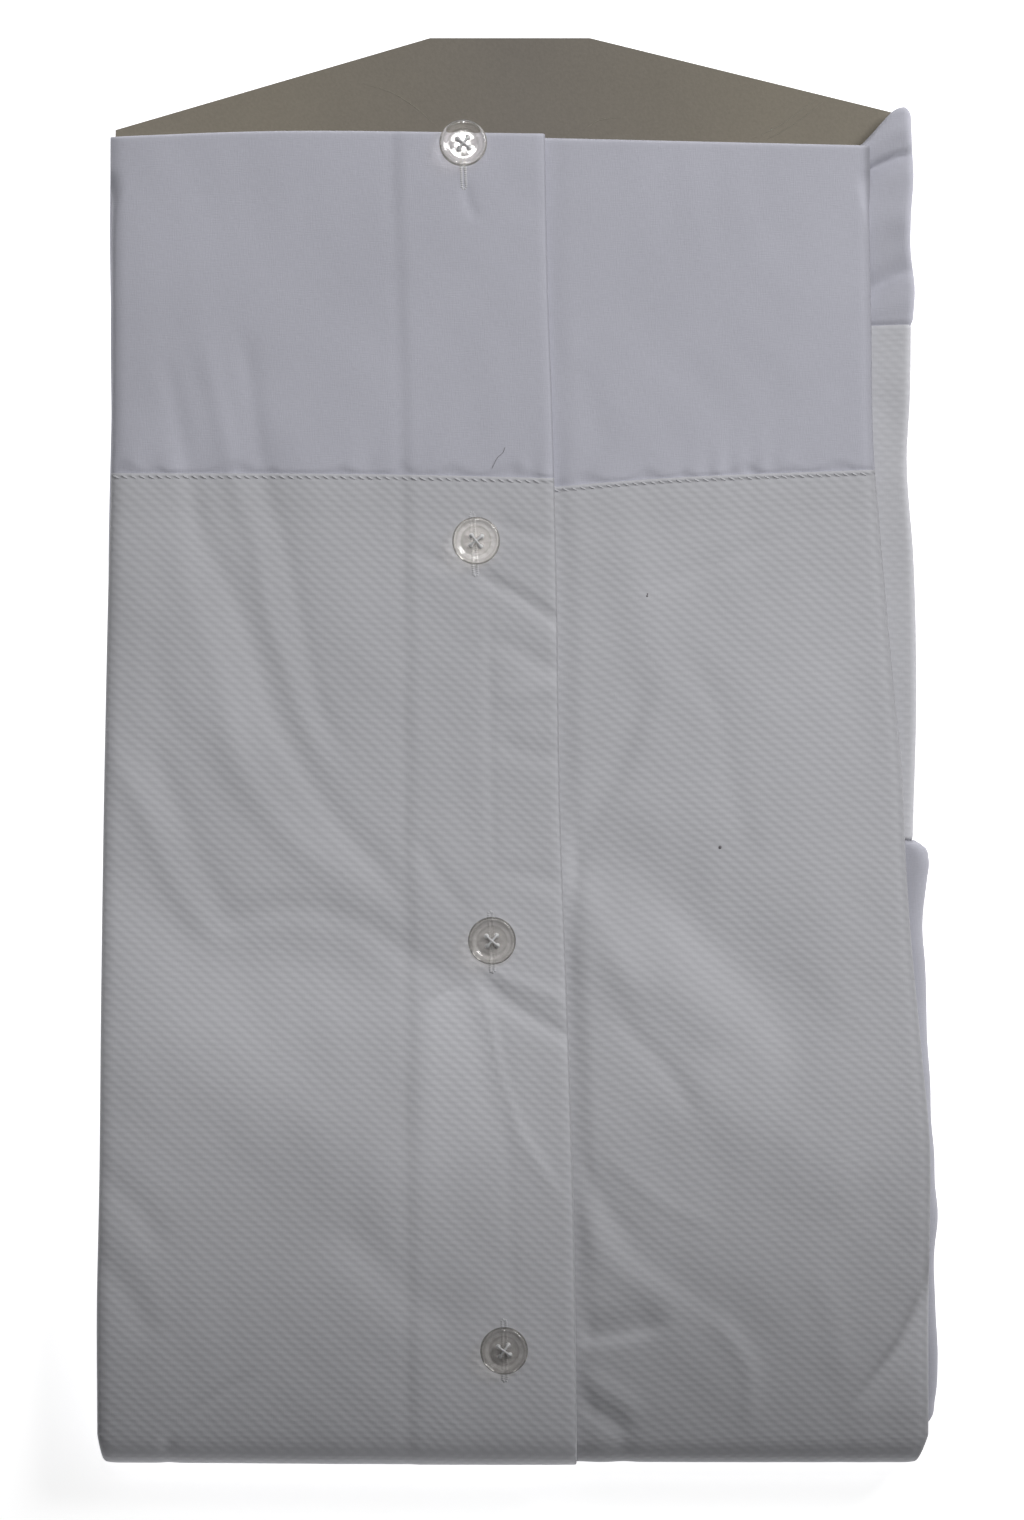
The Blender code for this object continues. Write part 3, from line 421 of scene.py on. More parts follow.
# The two fronts, in millimetres: each edge is a list of (along, across) places
# from the foot to the head, and each crease is (rise, width, lean, path).
leftFront = {
    "side": -1.0,
    # painted shade at the side fold, and how far in it reaches
    "edgePaintedShade": 0.2,
    "edgeReach": 1.9,
    # painted shade over the last few millimetres to the side fold
    "sidePaintedShade": 0.05,          # of the last few millimetres to the side fold
    "sideReach": 8.0,
    # painted light on the lower part of the left front
    "paintedLightAlongLength": [(-168.0, 0.05), (-160.0, 0.085), (-140.0, 0.09), (-100.0, 0.045), (-60.0, 0.055),
                 (-10.0, 0.01), (20.0, 0.0), (150.0, 0.0)],
    "edge": [(-163.8, -100.6), (-131.6, -100.7), (-107.6, -100.2), (-59.6, -99.7), (-11.6, -99.0),
             (36.4, -98.0), (67.6, -97.2), (148.0, -97.1)],
    "start": [(-170.0, 14.5), (-107.6, 13.6), (-59.6, 12.1), (-11.6, 10.4), (36.4, 9.7),
              (84.4, 8.5), (108.4, 7.6), (148.0, 6.8)],
    "facing": [(-156.0, -24.4), (-36.0, -24.8), (67.0, -25.6), (144.0, -28.0)],
    "foot": [(0.0, -100.6), (0.5, -99.3), (1.0, -99.4)],
    # painted light on the roll round the foot
    "paintedFootLight": 0.13,
    "under": [(-163.8, -99.4), (-60.0, -98.6), (102.7, -96.6)],
    "seam": [(-98.0, 66.8), (-28.0, 66.4), (7.0, 65.6)],
    "head": [(-97.1, 147.5), (-64.0, 148.7), (6.8, 148.2)],
    # (across, half width, reach): where the plain cloth sinks into the seam
    "hollows": [(-94.0, 3.0, 3.5), (-86.0, 1.6, 1.5), (-68.0, 4.0, 3.5), (-59.0, 1.5, 1.5),
                (-42.0, 3.0, 1.5), (-27.5, 2.2, 4.0), (-16.0, 3.4, 3.0), (-1.5, 4.2, 3.8)],
    "lining": {
        "right": [(-130.0, 14.0), (-105.0, 8.6), (-91.0, 0.8), (-81.0, -4.0), (-62.0, -8.2),
                  (-56.0, -9.0)],
        "head": [(-24.0, -60.0), (-19.5, -58.6), (-16.0, -56.6), (-12.5, -56.0), (-9.0, -59.5),
                 (-7.0, -64.0)],
        "left": -24.0,
        "endY": -122.0,
        "pale": 0.12,
        "blends": (0.6, 5.0, 0.7, 60.0),    # at its right, left, head and far end
    },
    "top": 14.0,
    "facingTop": 14.75,
    "placketTop": 14.97,
    "stepWidth": 2.0,
    "groove": (2.2, 1.3, 0.07),         # beside the facing's edge: place, width, depth
    # painted shade in a line along the facing's edge
    "facingPaintedShade": (1.2, 0.8, 0.03),    # the same for the dark line there
    # painted light in a band beside the placket edge
    "placketPaintedLight": (2.6, 1.4, 0.06),    # reach, blend and shade of the paler placket edge
    "creases": [
        (-0.4, 2.4, 0.0, [(-86, 98), (-83.6, 91), (-81.2, 80.6), (-79.4, 70), (-77, 59), (-75, 48)]),
        (0.45, 2.6, 0.0, [(-76, 101), (-73.5, 91), (-71, 80.6), (-68.8, 70), (-66.4, 60), (-64, 48)]),
        (-0.4, 2.2, 0.0, [(-67, 104), (-64.6, 93.7), (-62.8, 80.6), (-61.3, 70), (-59.8, 60), (-58, 50)]),
        (-0.6, 3.2, 0.15, [(-82, 66), (-78.8, 59), (-73.5, 48.6), (-67.6, 36.7), (-62.2, 22.5),
            (-58.7, 10.6), (-51.5, -3.7), (-42, -18), (-31.4, -30), (-25.4, -41.7),
            (-20, -50)]),
        (0.6, 4.0, 0.0, [(-84, 62), (-81, 48.6), (-76.5, 32), (-70.5, 15), (-67, -2.5), (-58.7, -15.5),
            (-48, -26), (-37.3, -33), (-29, -38)]),
        (0.32, 2.0, 0.0, [(-66, 62), (-63.4, 53.3), (-59.3, 32), (-55.7, 21.3), (-52, 9.4), (-48, 0),
            (-44, -7)]),
        (-0.32, 2.1, 0.0, [(-60, 68), (-58, 59), (-53.3, 39), (-50.4, 25), (-46.8, 10.6), (-42.6, 1),
            (-38, -6)]),
        (0.5, 3.0, 0.0, [(-98, 6), (-95.5, -2.5), (-89.5, -14.4), (-84.2, -27.4), (-78.3, -38),
            (-71.7, -44), (-64, -46)]),
        (-0.45, 3.2, 0.0, [(-90, 8), (-87, 1), (-82.4, -10.8), (-77, -24), (-70.5, -37), (-66, -44)]),
        (-0.6, 3.6, 0.0, [(-80, -44), (-70.5, -41.7), (-59.8, -38), (-48, -38), (-36, -41.7),
            (-25.4, -48.8), (-16, -54.7), (-8, -58)]),
        (-0.25, 4.5, 0.0, [(-88, 34), (-86, 24), (-84, 12), (-80, -2)]),
        (0.3, 5.0, 0.0, [(-62, -50), (-50, -58), (-44, -68), (-41, -82)]),
        (0.25, 6.0, 0.0, [(-84, -62), (-70, -72), (-64, -86), (-62, -104)]),
        (0.55, 1.9, -0.45, [(-14, -50), (-9, -58), (-6, -67), (-3, -80), (1, -91), (7, -101),
            (13, -111)]),
        (0.5, 1.8, 0.0, [(-9, -49), (-4, -53.5), (1.9, -56), (7.8, -58.3), (14, -61)]),
        (-0.8, 2.1, 0.0, [(-9, -53), (-4, -58.5), (1.9, -62.5), (9, -66.5), (17, -71)]),
        (-0.35, 2.4, 0.0, [(-6, -28), (-0.5, -29.2), (7.8, -31), (13, -33)]),
        (-0.8, 1.7, 0.0, [(-11, 44.5), (-5, 40.3), (-0.5, 38), (6, 33.7), (14, 28)]),
        (-0.35, 1.6, 0.0, [(-6, 56), (-1, 53.5), (4, 52), (10, 51)]),
        (-0.35, 1.7, 0.0, [(-26, 50), (-20, 46), (-14.5, 44.5), (-10, 45)]),
        (-0.45, 2.6, 0.0, [(-8, 28), (1, 24), (6, 21), (14, 18)]),
        (-0.4, 2.8, 0.0, [(-6, 3), (2, 0), (7, -1), (14, 0)]),
        (0.35, 2.8, 0.0, [(-6, 12), (2, 14), (7, 15), (14, 14)]),
        (-0.22, 1.2, 0.0, [(-6.4, 42), (-6.4, 12), (-5.9, -12), (-5.2, -36)]),
        (-0.15, 1.5, 0.0, [(-4, -60), (-2, -100), (-1, -130), (0, -160)]),
        (-0.35, 2.2, 0.0, [(-25, -18), (-20, -28), (-14, -36), (-9, -40)]),
        (0.2, 8.0, 0.0, [(-66, 118), (-55, 101), (-42, 95), (-30, 96)]),
        (-0.4, 1.2, 0.0, [(-12.6, 137), (-11.6, 132), (-9.5, 127)]),
        (-0.5, 1.2, 0.0, [(-90, -170), (-80, -160.5), (-75.3, -156.7), (-62, -148)]),
        (-0.65, 5.5, 0.0, [(-46, -110), (-35, -121), (-24, -131), (-10, -141)]),
        (0.4, 14.0, 0.0, [(-60, -75), (-40, -105), (-34, -150)]),
        (-0.55, 3.6, 0.0, [(-106, -94), (-98, -103), (-90, -111), (-84, -122)]),
        (-0.55, 3.6, 0.0, [(-106, -114), (-98, -124), (-92, -132), (-86, -144)]),
        (-0.8, 8.0, 0.0, [(-107, -34), (-103, -56), (-102, -80), (-103, -104)]),
        (-1.5, 12.0, 0.0, [(-104, -16), (-90, -33), (-70, -48), (-44, -52), (-18, -50), (0, -46)]),
        (1.1, 13.0, 0.0, [(-98, -66), (-80, -76), (-58, -86), (-34, -100), (-20, -118)]),
        (0.9, 9.0, 0.0, [(-96, 60), (-86, 30), (-70, 4), (-50, -14)]),
        (0.5, 9.0, 0.0, [(-60, 92), (-50, 60), (-40, 30), (-34, 4)]),
    ],
}
rightFront = {
    "side": 1.0,
    # a painted shadow line along the side fold, and how far in it reaches
    "edgePaintedShade": 0.36,
    "edgeReach": 1.0,
    # painted shade towards the foot of the right front, and a little painted light below the seam
    "paintedLightAlongLength": [(-165.0, -0.06), (-130.0, -0.03), (-90.0, 0.0), (60.0, 0.02), (100.0, 0.0),
                 (150.0, 0.0)],
    "edge": [(-163.8, 98.8), (-129.0, 98.9), (-112.4, 99.2), (-95.6, 99.2), (-74.0, 97.3),
             (-42.8, 94.4), (-23.6, 93.2), (-6.8, 92.5), (14.8, 90.4), (50.8, 87.2), (67.6, 85.8),
             (102.4, 85.1), (144.4, 84.4)],
    "underlap": 9.0,
    "hollows": [(15.0, 4.5, 3.4), (31.0, 2.4, 3.0), (40.0, 1.4, 1.6), (54.5, 3.0, 3.2),
                (66.0, 2.0, 1.5), (77.0, 3.6, 2.6)],
    "foot": [(0.0, 98.8), (0.5, 96.4), (1.0, 97.6)],
    # painted light on the roll round the foot
    "paintedFootLight": 0.06,
    "under": [(-163.8, 97.6), (-90.0, 97.4), (-60.0, 96.0), (-30.0, 95.4), (-12.0, 93.2), (102.7, 92.8)],
    "seam": [(9.0, 63.5), (30.0, 65.2), (85.0, 67.6)],
    "head": [(6.8, 147.2), (84.4, 145.4)],
    "top": 13.8,
    # how much lower it lies beside and under the placket, and how far out that goes
    "sink": [(-163.0, 0.5), (-135.0, 0.55), (-104.0, 0.95), (-80.0, 1.1), (-56.0, 1.0), (-40.0, 0.75),
             (-25.0, 0.65), (10.0, 0.65), (36.0, 0.5), (60.0, 0.35), (148.0, 0.35)],
    "sinkEnd": 6.0,
    "sinkWidth": 6.5,
    "clearWidth": 4.0,                  # its folds start softly beside the placket
    "fadeLine": [(-156.0, 79.0), (-148.5, 84.6), (-141.4, 89.8), (-129.5, 95.5), (-117.0, 99.4)],
    "fadeDepth": [(-158.0, 0.0), (-148.4, 0.8), (-141.2, 1.4), (-129.0, 1.7), (-114.0, 0.0)],
    "fadeWidth": 3.0,
    # painted shade along the fading fold, and painted light beyond it
    "fadePaintedShade": 0.15,
    "fadePaintedLine": (1.2, 1.1),             # place and width of the darker line along it
    "fadePaintedLight": (2.0, 2.0, 0.6),        # where it is paler, how softly, and its share
    "creases": [
        (-0.7, 3.4, -0.2, [(33, 22), (28.4, 8), (23.8, -4.9), (18, -16.7), (13.8, -27.4), (12, -40)]),
        (0.45, 3.6, 0.0, [(14, -28), (16.7, -35.7), (21, -44), (25.6, -53.5), (31, -62)]),
        (-0.55, 5.0, 0.0, [(30, -30), (37.5, -38), (50.6, -50), (61, -62), (70, -76)]),
        (-0.45, 2.4, 0.0, [(23, -60), (28, -67.8), (34, -73.7), (39.3, -80.8), (44, -90)]),
        (0.3, 2.0, 0.0, [(20, -94), (25.6, -101), (35, -108.2), (42.3, -111.7), (50, -114)]),
        (-0.3, 1.8, 0.0, [(14, -95), (19, -104), (24, -112), (30, -118)]),
        (-0.62, 4.6, 0.4, [(12, -92), (16.5, -102), (21.8, -111.1), (28.3, -119.2), (35.8, -125.7),
            (44.4, -131.1), (53.1, -137.5), (59.5, -146.2), (64, -155)]),
        (0.42, 3.2, 0.0, [(11, -104), (15.8, -112.7), (21.8, -122), (28.3, -127.4), (37, -131)]),
        (-1.5, 3.3, 0.45, [(2, -141), (10, -140.8), (17, -140.4), (24, -139.6), (31, -138.2),
            (38, -136)]),
        (0.6, 2.5, 0.0, [(4, -146.5), (13, -149), (20, -152), (26, -156), (31, -161)]),
        (-0.9, 2.3, 0.0, [(4, -153), (12, -155), (19, -158.4), (25, -162.4), (29, -167)]),
        (0.35, 2.2, 0.0, [(46, -134), (50.4, -139.7), (54.7, -146.2), (56.1, -153.7), (55.2, -163.4)]),
        (-0.25, 3.0, 0.0, [(42, 26), (44.6, 17.7), (49.4, 5.8), (51.8, -8.4), (55.3, -20.3), (60, -32)]),
        (-0.25, 2.4, 0.0, [(28, 37), (35, 40.3), (47, 45), (59, 49.8), (68, 54)]),
        (-0.25, 7.0, 0.0, [(50, -18), (57, -32), (64, -50)]),
        (-0.22, 3.5, 0.0, [(13, 96), (18, 84), (20, 72), (17, 60)]),
        (0.28, 3.0, 0.0, [(60, 66), (67, 76), (78, 88)]),
        (0.3, 7.0, 0.0, [(78, -6), (74, -40), (78, -80), (84, -110)]),
        (-0.3, 5.0, 0.0, [(70, -66), (64, -84), (62, -104)]),
        (0.4, 14.0, 0.0, [(70, 40), (60, -20), (70, -90)]),
        (0.15, 7.0, 0.0, [(28, 126), (40, 108), (44, 88)]),
        (0.3, 3.5, 0.0, [(70, -122), (76, -136), (78, -152)]),
        (-1.4, 10.0, 0.0, [(4, -24), (16, -27), (30, -29), (48, -42), (66, -60), (80, -80)]),
        (0.8, 7.0, 0.0, [(10, -44), (24, -51), (40, -60), (52, -72)]),
        (1.0, 10.0, 0.0, [(36, -76), (52, -86), (70, -98), (84, -112)]),
        (0.6, 8.0, 0.0, [(20, 60), (30, 36), (32, 12), (22, -6)]),
    ],
}
shape = {
    "columns": 112,             # points across a front's flat part
    "creaseScale": 0.72,
    "creaseFade": 0.22,         # share of a crease's length at each end
    "unevenness": 0.12,
    "edgeBand": 3.2,            # how far in from a side fold the cloth starts to drop
    "edgeDrop": 0.45,
    "seamLift": 0.2,            # how high the bib's folded edge stands
    "seamDip": 0.55,            # how far the plain cloth dips to go under it
    "seamReach": 4.0,           # how far it goes under
    "dipReach": 1.3,
    "puckerPitch": 7.5,
    "puckerHeight": 0.3,
    "puckerReach": 3.2,
    "placketRadius": 0.5,
    "placketTuck": 9.0,
    "hemMark": 999.0,           # distance from the side fold that stands for the turned edge
    # painted shade on the turned edge, which faces the lamps
    "paintedHemShade": 0.68,
    "headRadius": 0.8,
    "headTuck": 15.0,
}


# Height of the left front: it rises to the facing's edge, steps up to the
# placket, and carries the crown, the creases and a slight unevenness.
def leftHeight(x, y):
    facingX = smoothLine(leftFront["facing"])(y)
    edgeX = smoothLine(leftFront["edge"])(y)
    share = np.clip((x - edgeX) / (facingX - edgeX), 0.0, 1.0)
    base = leftFront["top"] + (leftFront["facingTop"] - leftFront["top"]) * share
    step = softStep((x - facingX) / leftFront["stepWidth"] + 0.5)
    place, width, depth = leftFront["groove"]
    base = base + (leftFront["placketTop"] - leftFront["facingTop"]) * step
    base = base - depth * np.exp(-(((x - facingX + place) / width) ** 2))
    creases = creaseHeight(x, y, leftFront["creases"])
    return base + crown(x, y) + creases + unevenness(x, y, shape["unevenness"])


# Height of the right front: lower under the placket and past the fading fold.
def rightHeight(x, y):
    placketX = smoothLine(leftFront["start"])(y)
    beyond = x - straightLine(rightFront["fadeLine"])(y)
    faded = smoothLine(rightFront["fadeDepth"])(y) * softStep(beyond / rightFront["fadeWidth"])
    under = softStep((placketX + rightFront["sinkEnd"] - x) / rightFront["sinkWidth"])
    lapped = smoothLine(rightFront["sink"])(y) * under
    clear = softStep((x - placketX) / rightFront["clearWidth"])
    creases = clear * creaseHeight(x, y, rightFront["creases"])
    uneven = clear * unevenness(x + 40.0, y, shape["unevenness"])
    return rightFront["top"] + crown(x, y) + creases + uneven - faded - lapped


# Small uneven puckers that a seam pulls into the cloth beside it: a winding wave
# along the seam, of slowly changing height, that dies out away from it.
def puckers(x, away):
    wave = windingWave(x, x, shape["puckerPitch"] / (2.0 * math.pi), 8.3, math.pi)
    size = np.clip(0.45 + 0.55 * windingWave(x, x, 9.0, 37.0, 2.0), 0.05, 1.0)
    return shape["puckerHeight"] * size * wave * np.exp(-np.abs(away) / shape["puckerReach"])


# How far above the seam the plain cloth starts to dip under the bib: a little,
# and further at each hollow, a bell round its own place.
def dipReach(x, front):
    reach = shape["dipReach"] + 0.0 * x
    for place, half, far in front["hollows"]:
        reach = reach + far * np.exp(-(((x - place) / half) ** 2))
    return reach


# Places across a front for rows given as columns of numbers: a turned edge at
# the placket, the flat part, then the side fold, which bends by the angle sweep
# on a fixed length of cloth and ends in a straight tail. Returns x, the drop
# below the front's own height, how much of that is the whole edge sinking, the
# place across the flat cloth and the distance in from the side fold.
def acrossFront(front, startX, outerX, sweep=math.pi, tail=pack["lipTuck"]):
    side = front["side"]
    sweep = sweep + 0.0 * startX
    tail = tail + 0.0 * startX
    lipArc = math.pi * pack["lipRadius"]
    radius = lipArc / sweep
    bendX = outerX - side * radius * np.sin(np.minimum(sweep, 0.5 * math.pi))
    even = np.linspace(0.0, 1.0, shape["columns"])
    share = 0.65 * even + 0.35 * (0.5 - 0.5 * np.cos(math.pi * even))
    turned = shape["placketRadius"]
    flatX = startX + side * turned + (bendX - startX - side * turned) * share
    inward = side * (outerX - flatX)
    rolled = np.clip(1.0 - inward / shape["edgeBand"], 0.0, 1.0) ** 2
    flatDrop = shape["edgeDrop"] * rolled
    squeeze = 1.0 - 0.5 * flatDrop[:, -1:] / pack["lipRadius"]
    angles = sweep * np.linspace(0.0, 1.0, 9)[1:]
    lipX = bendX + side * radius * np.sin(angles)
    lipDrop = flatDrop[:, -1:] + squeeze * radius * (1.0 - np.cos(angles))
    run = tail * np.linspace(0.0, 1.0, 6)[1:]
    tailX = lipX[:, -1:] + side * np.cos(sweep) * run
    tailDrop = lipDrop[:, -1:] + np.sin(sweep) * run
    hem = math.pi * np.linspace(1.0, 0.0, 7)[:-1]
    hemX = startX + side * turned * (1.0 - np.sin(hem))
    hemDrop = turned * (1.0 - np.cos(hem)) + 0.0 * hemX
    back = shape["placketTuck"] * np.linspace(1.0, 0.0, 5)[:-1]
    backX = startX + side * (turned + back)
    backDrop = 2.0 * turned + 0.0 * backX
    x = np.concatenate([backX, hemX, flatX, lipX, tailX], axis=1)
    drop = np.concatenate([backDrop, hemDrop, flatDrop, lipDrop, tailDrop], axis=1)
    clothX = np.concatenate([
        startX - side * (back + math.pi * turned), startX - side * turned * hem, flatX,
        bendX + side * radius * angles, bendX + side * (lipArc + run)], axis=1)
    before = np.zeros((len(x), backX.shape[1] + hemX.shape[1]))
    after = np.zeros((len(x), lipX.shape[1] + tailX.shape[1]))
    sunk = np.concatenate([before, flatDrop, after + flatDrop[:, -1:]], axis=1)
    lipInward = np.where(angles < 0.5 * math.pi, side * (outerX - lipX), 0.0)
    inside = np.concatenate([before + shape["hemMark"], inward, lipInward, 0.0 * tailX], axis=1)
    return x, drop, sunk, clothX, inside


# Where the placket's lining ends in a tongue, the cloth over it is paler.
def liningTone(x, y):
    look = leftFront["lining"]
    right, left, head, end = look["blends"]
    inside = softStep((straightLine(look["right"])(y) - x) / right)
    inside = inside * softStep((x - look["left"]) / left)
    inside = inside * softStep((straightLine(look["head"])(x) - y) / head)
    return look["pale"] * inside * softStep((y - look["endY"]) / end)


# Painted light and shade in a front's colour: painted shade at the side fold
# and on the turned edge, painted light beside that edge, painted shade in the
# facing's line and along the right front's fading fold, painted light beyond the
# fold, painted light and shade along the front from foot to head, and, on the left
# front, paler cloth over the lining's tongue.
def frontToneAndPaintedLight(front, x, y, inside):
    # painted shade at the side fold
    toneAndPaintedLight = 1.0 - front["edgePaintedShade"] * np.exp(-(inside / front["edgeReach"]) ** 2)
    # painted shade on the turned edge
    toneAndPaintedLight = np.where(inside == shape["hemMark"], shape["paintedHemShade"], toneAndPaintedLight)
    # painted light and shade along the front from foot to head
    toneAndPaintedLight = toneAndPaintedLight + smoothLine(front["paintedLightAlongLength"])(y)
    if front is rightFront:
        # painted shade along the fading fold, painted light beyond it
        beyond = x - straightLine(rightFront["fadeLine"])(y)
        paintedFoldShade = rightFront["fadePaintedShade"] * smoothLine(rightFront["fadeDepth"])(y)
        place, width = rightFront["fadePaintedLine"]
        toneAndPaintedLight = toneAndPaintedLight - paintedFoldShade * np.exp(-((beyond - place) / width) ** 2)
        place, width, pale = rightFront["fadePaintedLight"]
        toneAndPaintedLight = toneAndPaintedLight + pale * paintedFoldShade * softStep((beyond - place) / width)
    else:
        fromEdge = smoothLine(leftFront["start"])(y) - x
        fromFacing = x - smoothLine(leftFront["facing"])(y)
        # painted light beside the placket edge
        reach, blend, pale = leftFront["placketPaintedLight"]
        toneAndPaintedLight = toneAndPaintedLight + pale * softStep((reach - fromEdge) / blend)
        # a broader painted shade towards the side fold
        toneAndPaintedLight = toneAndPaintedLight - leftFront["sidePaintedShade"] * np.exp(-(inside / leftFront["sideReach"]) ** 2)
        # painted shade along the facing's edge
        place, width, dark = leftFront["facingPaintedShade"]
        line = dark * (1.0 + np.sin(y / 17.0) * np.sin(y / 7.0 + 1.0))
        toneAndPaintedLight = toneAndPaintedLight - line * np.exp(-((fromFacing + place) / width) ** 2)
        toneAndPaintedLight = toneAndPaintedLight + liningTone(x, y)
    return toneAndPaintedLight


# Where a front starts: the placket edge, or for the right front a little under it.
def startOf(front):
    placket = smoothLine(leftFront["start"])
    if front is leftFront:
        return placket
    return lambda y: placket(y) - front["underlap"]


# The same on the way round the foot, where the lap closes to a meeting edge
# once it is out of sight below.
def roundFoot(front, turn):
    start = startOf(front)(pack["footY"])
    if front is leftFront:
        return start + 0.0 * turn
    return start + (front["underlap"] + 0.2) * softStep((turn - 0.25) / 0.35)


# How many rows a bib has, and where its first ones lie below the seam
bibRows = {
    "near": [0.0, 0.25, 0.5, 0.8, 1.2, 1.8, 2.6, 3.5],
    "back": 224,
    "foot": 19,
    "under": 60,
}


# A bib, row by row: down the back of the pack from the seam, round the foot in
# a half circle that narrows from the top's height to the ground's, and along
# the ground to the head end.
def makeBib(name, front, height, node):
    seamY = smoothLine(front["seam"])
    middleY = float(np.mean([point[1] for point in front["seam"]]))
    footY = pack["footY"]
    spaced = np.linspace(4.5, middleY - footY, bibRows["back"])
    along = np.concatenate([bibRows["near"], spaced])[:, None]
    rowY = middleY - along
    x, drop, _, clothX, inside = acrossFront(front, startOf(front)(rowY), smoothLine(front["edge"])(rowY))
    first = seamY(x)
    y = first + (footY - first) * along / (middleY - footY)
    away = first - y
    lift = shape["seamLift"] * (softStep(away / 0.7) - softStep((away - 3.0) / 9.0))
    z = height(x, y) + lift + 0.25 * puckers(x, away) - drop
    backOfPack = np.stack([x, y, z], axis=-1)
    backTone = frontToneAndPaintedLight(front, x, y, inside)

    turn = np.linspace(0.0, 1.0, bibRows["foot"])[1:, None]
    x, drop, _, rollX, inside = acrossFront(front, roundFoot(front, turn), smoothLine(front["foot"])(turn))
    over = height(x, footY + 0.0 * turn) - pack["midZ"]
    arm = over + (pack["midZ"] - over) * turn - drop
    roll = np.stack([x, footY - np.sin(turn * math.pi) * arm,
                     pack["midZ"] + np.cos(turn * math.pi) * arm], axis=-1)
    rollY = away[-1:] + pack["midZ"] * math.pi * turn + 0.0 * x
    # the roll round the foot gets painted light
    rollTone = frontToneAndPaintedLight(front, x, footY + 0.0 * turn, inside) + front["paintedFootLight"] * softStep(turn / 0.12)

    underY = np.linspace(footY, pack["underEndY"], bibRows["under"])[1:, None]
    level = footY + 0.0 * underY
    x, drop, _, underX, inside = acrossFront(
        front, roundFoot(front, 1.0 + 0.0 * underY), smoothLine(front["under"])(underY))
    below = np.stack([x, underY + 0.0 * x, drop], axis=-1)
    belowY = rollY[-1:] + underY - footY + 0.0 * x
    tones = np.concatenate([backTone, rollTone, frontToneAndPaintedLight(front, x, level, inside)])

    cloth = np.stack([np.concatenate([clothX, rollX, underX]),
                      np.concatenate([away, rollY, belowY])], axis=-1)
    bib = gridPiece(name, np.concatenate([backOfPack, roll, below]), cloth, tones, bibCotton,
                    flip=front["side"] > 0)
    seat(thicken(bib), "ribbed_cotton", node)
    print(name, "made")


# Where a skirt's side fold opens out towards the head, and its rows
skirtRows = {
    "sweep": [(122.0, math.pi), (140.0, 0.06)],
    "tail": [(106.0, pack["lipTuck"]), (120.0, 0.3)],
    "under": 5,
    "near": 10,
    "nearEnd": 6.0,
    "far": 80,
    "round": 8,
    "tuck": 5,
}


# A plain skirt: from under the bib's edge up to the head, round the head fold
# in a half circle, and a tuck back under itself.
def makeSkirt(name, front, height, node):
    seamY = smoothLine(front["seam"])
    headY = smoothLine(front["head"])
    radius = shape["headRadius"]
    middleY = float(np.mean([point[1] for point in front["seam"]]))
    lastY = float(np.mean([point[1] for point in front["head"]])) - radius
    near = skirtRows["nearEnd"]
    along = np.concatenate([np.linspace(-shape["seamReach"], 0.0, skirtRows["under"])[:-1],
                            np.linspace(0.0, near, skirtRows["near"])[:-1],
                            np.linspace(near, lastY - middleY, skirtRows["far"])])[:, None]
    rowY = middleY + along
    x, drop, sunk, clothX, inside = acrossFront(
        front, startOf(front)(rowY), smoothLine(front["edge"])(rowY),
        straightLine(skirtRows["sweep"])(rowY), straightLine(skirtRows["tail"])(rowY))
    first = seamY(x)
    last = headY(x) - radius
    y = first + (last - first) * along / (lastY - middleY)
    away = y - first
    dip = shape["seamDip"] * (1.0 - softStep((away + 0.5) / dipReach(x, front)))
    z = height(x, y) - dip + puckers(x, away) * softStep((away + 1.0) / 2.0) - drop
    up = np.stack([x, y, z], axis=-1)
    tones = frontToneAndPaintedLight(front, x, y, inside)

    x = x[-1:]
    end = last[-1:]
    hem = 0.8 * np.minimum(drop[-1:] - sunk[-1:], 2.0 * shape["placketRadius"])
    angles = math.pi * np.linspace(0.0, 1.0, skirtRows["round"] + 1)[1:, None]
    base = height(x, end) - sunk[-1:]
    fold = np.stack([x + 0.0 * angles, end + (radius - hem) * np.sin(angles),
                     base - radius + (radius - hem) * np.cos(angles)], axis=-1)
    foldY = away[-1:] + radius * angles
    run = np.linspace(0.0, 1.0, skirtRows["tuck"] + 1)[1:, None]
    narrow = 1.0 - np.minimum(run * 2.0, 1.0) * 6.0 / np.abs(x[0, -1] - x[0, 0])
    tuck = np.stack([x[:, :1] + (x - x[:, :1]) * narrow, end - shape["headTuck"] * run,
                     base - 2.0 * radius + hem + 0.0 * run], axis=-1)
    tuckY = foldY[-1:] + shape["headTuck"] * run

    extra = skirtRows["round"] + skirtRows["tuck"]
    cloth = np.stack([np.concatenate([clothX, np.repeat(clothX[-1:], extra, axis=0)]),
                      np.concatenate([away, foldY, tuckY])], axis=-1)
    tones = np.concatenate([tones, np.repeat(tones[-1:], extra, axis=0)])
    skirt = gridPiece(name, np.concatenate([up, fold, tuck]), cloth, tones, plainCotton,
                      flip=front["side"] < 0)
    seat(thicken(skirt), "plain_cotton", node)
    print(name, "made")


makeBib("leftBib", leftFront, leftHeight, "left_bib")
makeBib("rightBib", rightFront, rightHeight, "right_bib")
makeSkirt("leftSkirt", leftFront, leftHeight, "left_front")
makeSkirt("rightSkirt", rightFront, rightHeight, "right_front")

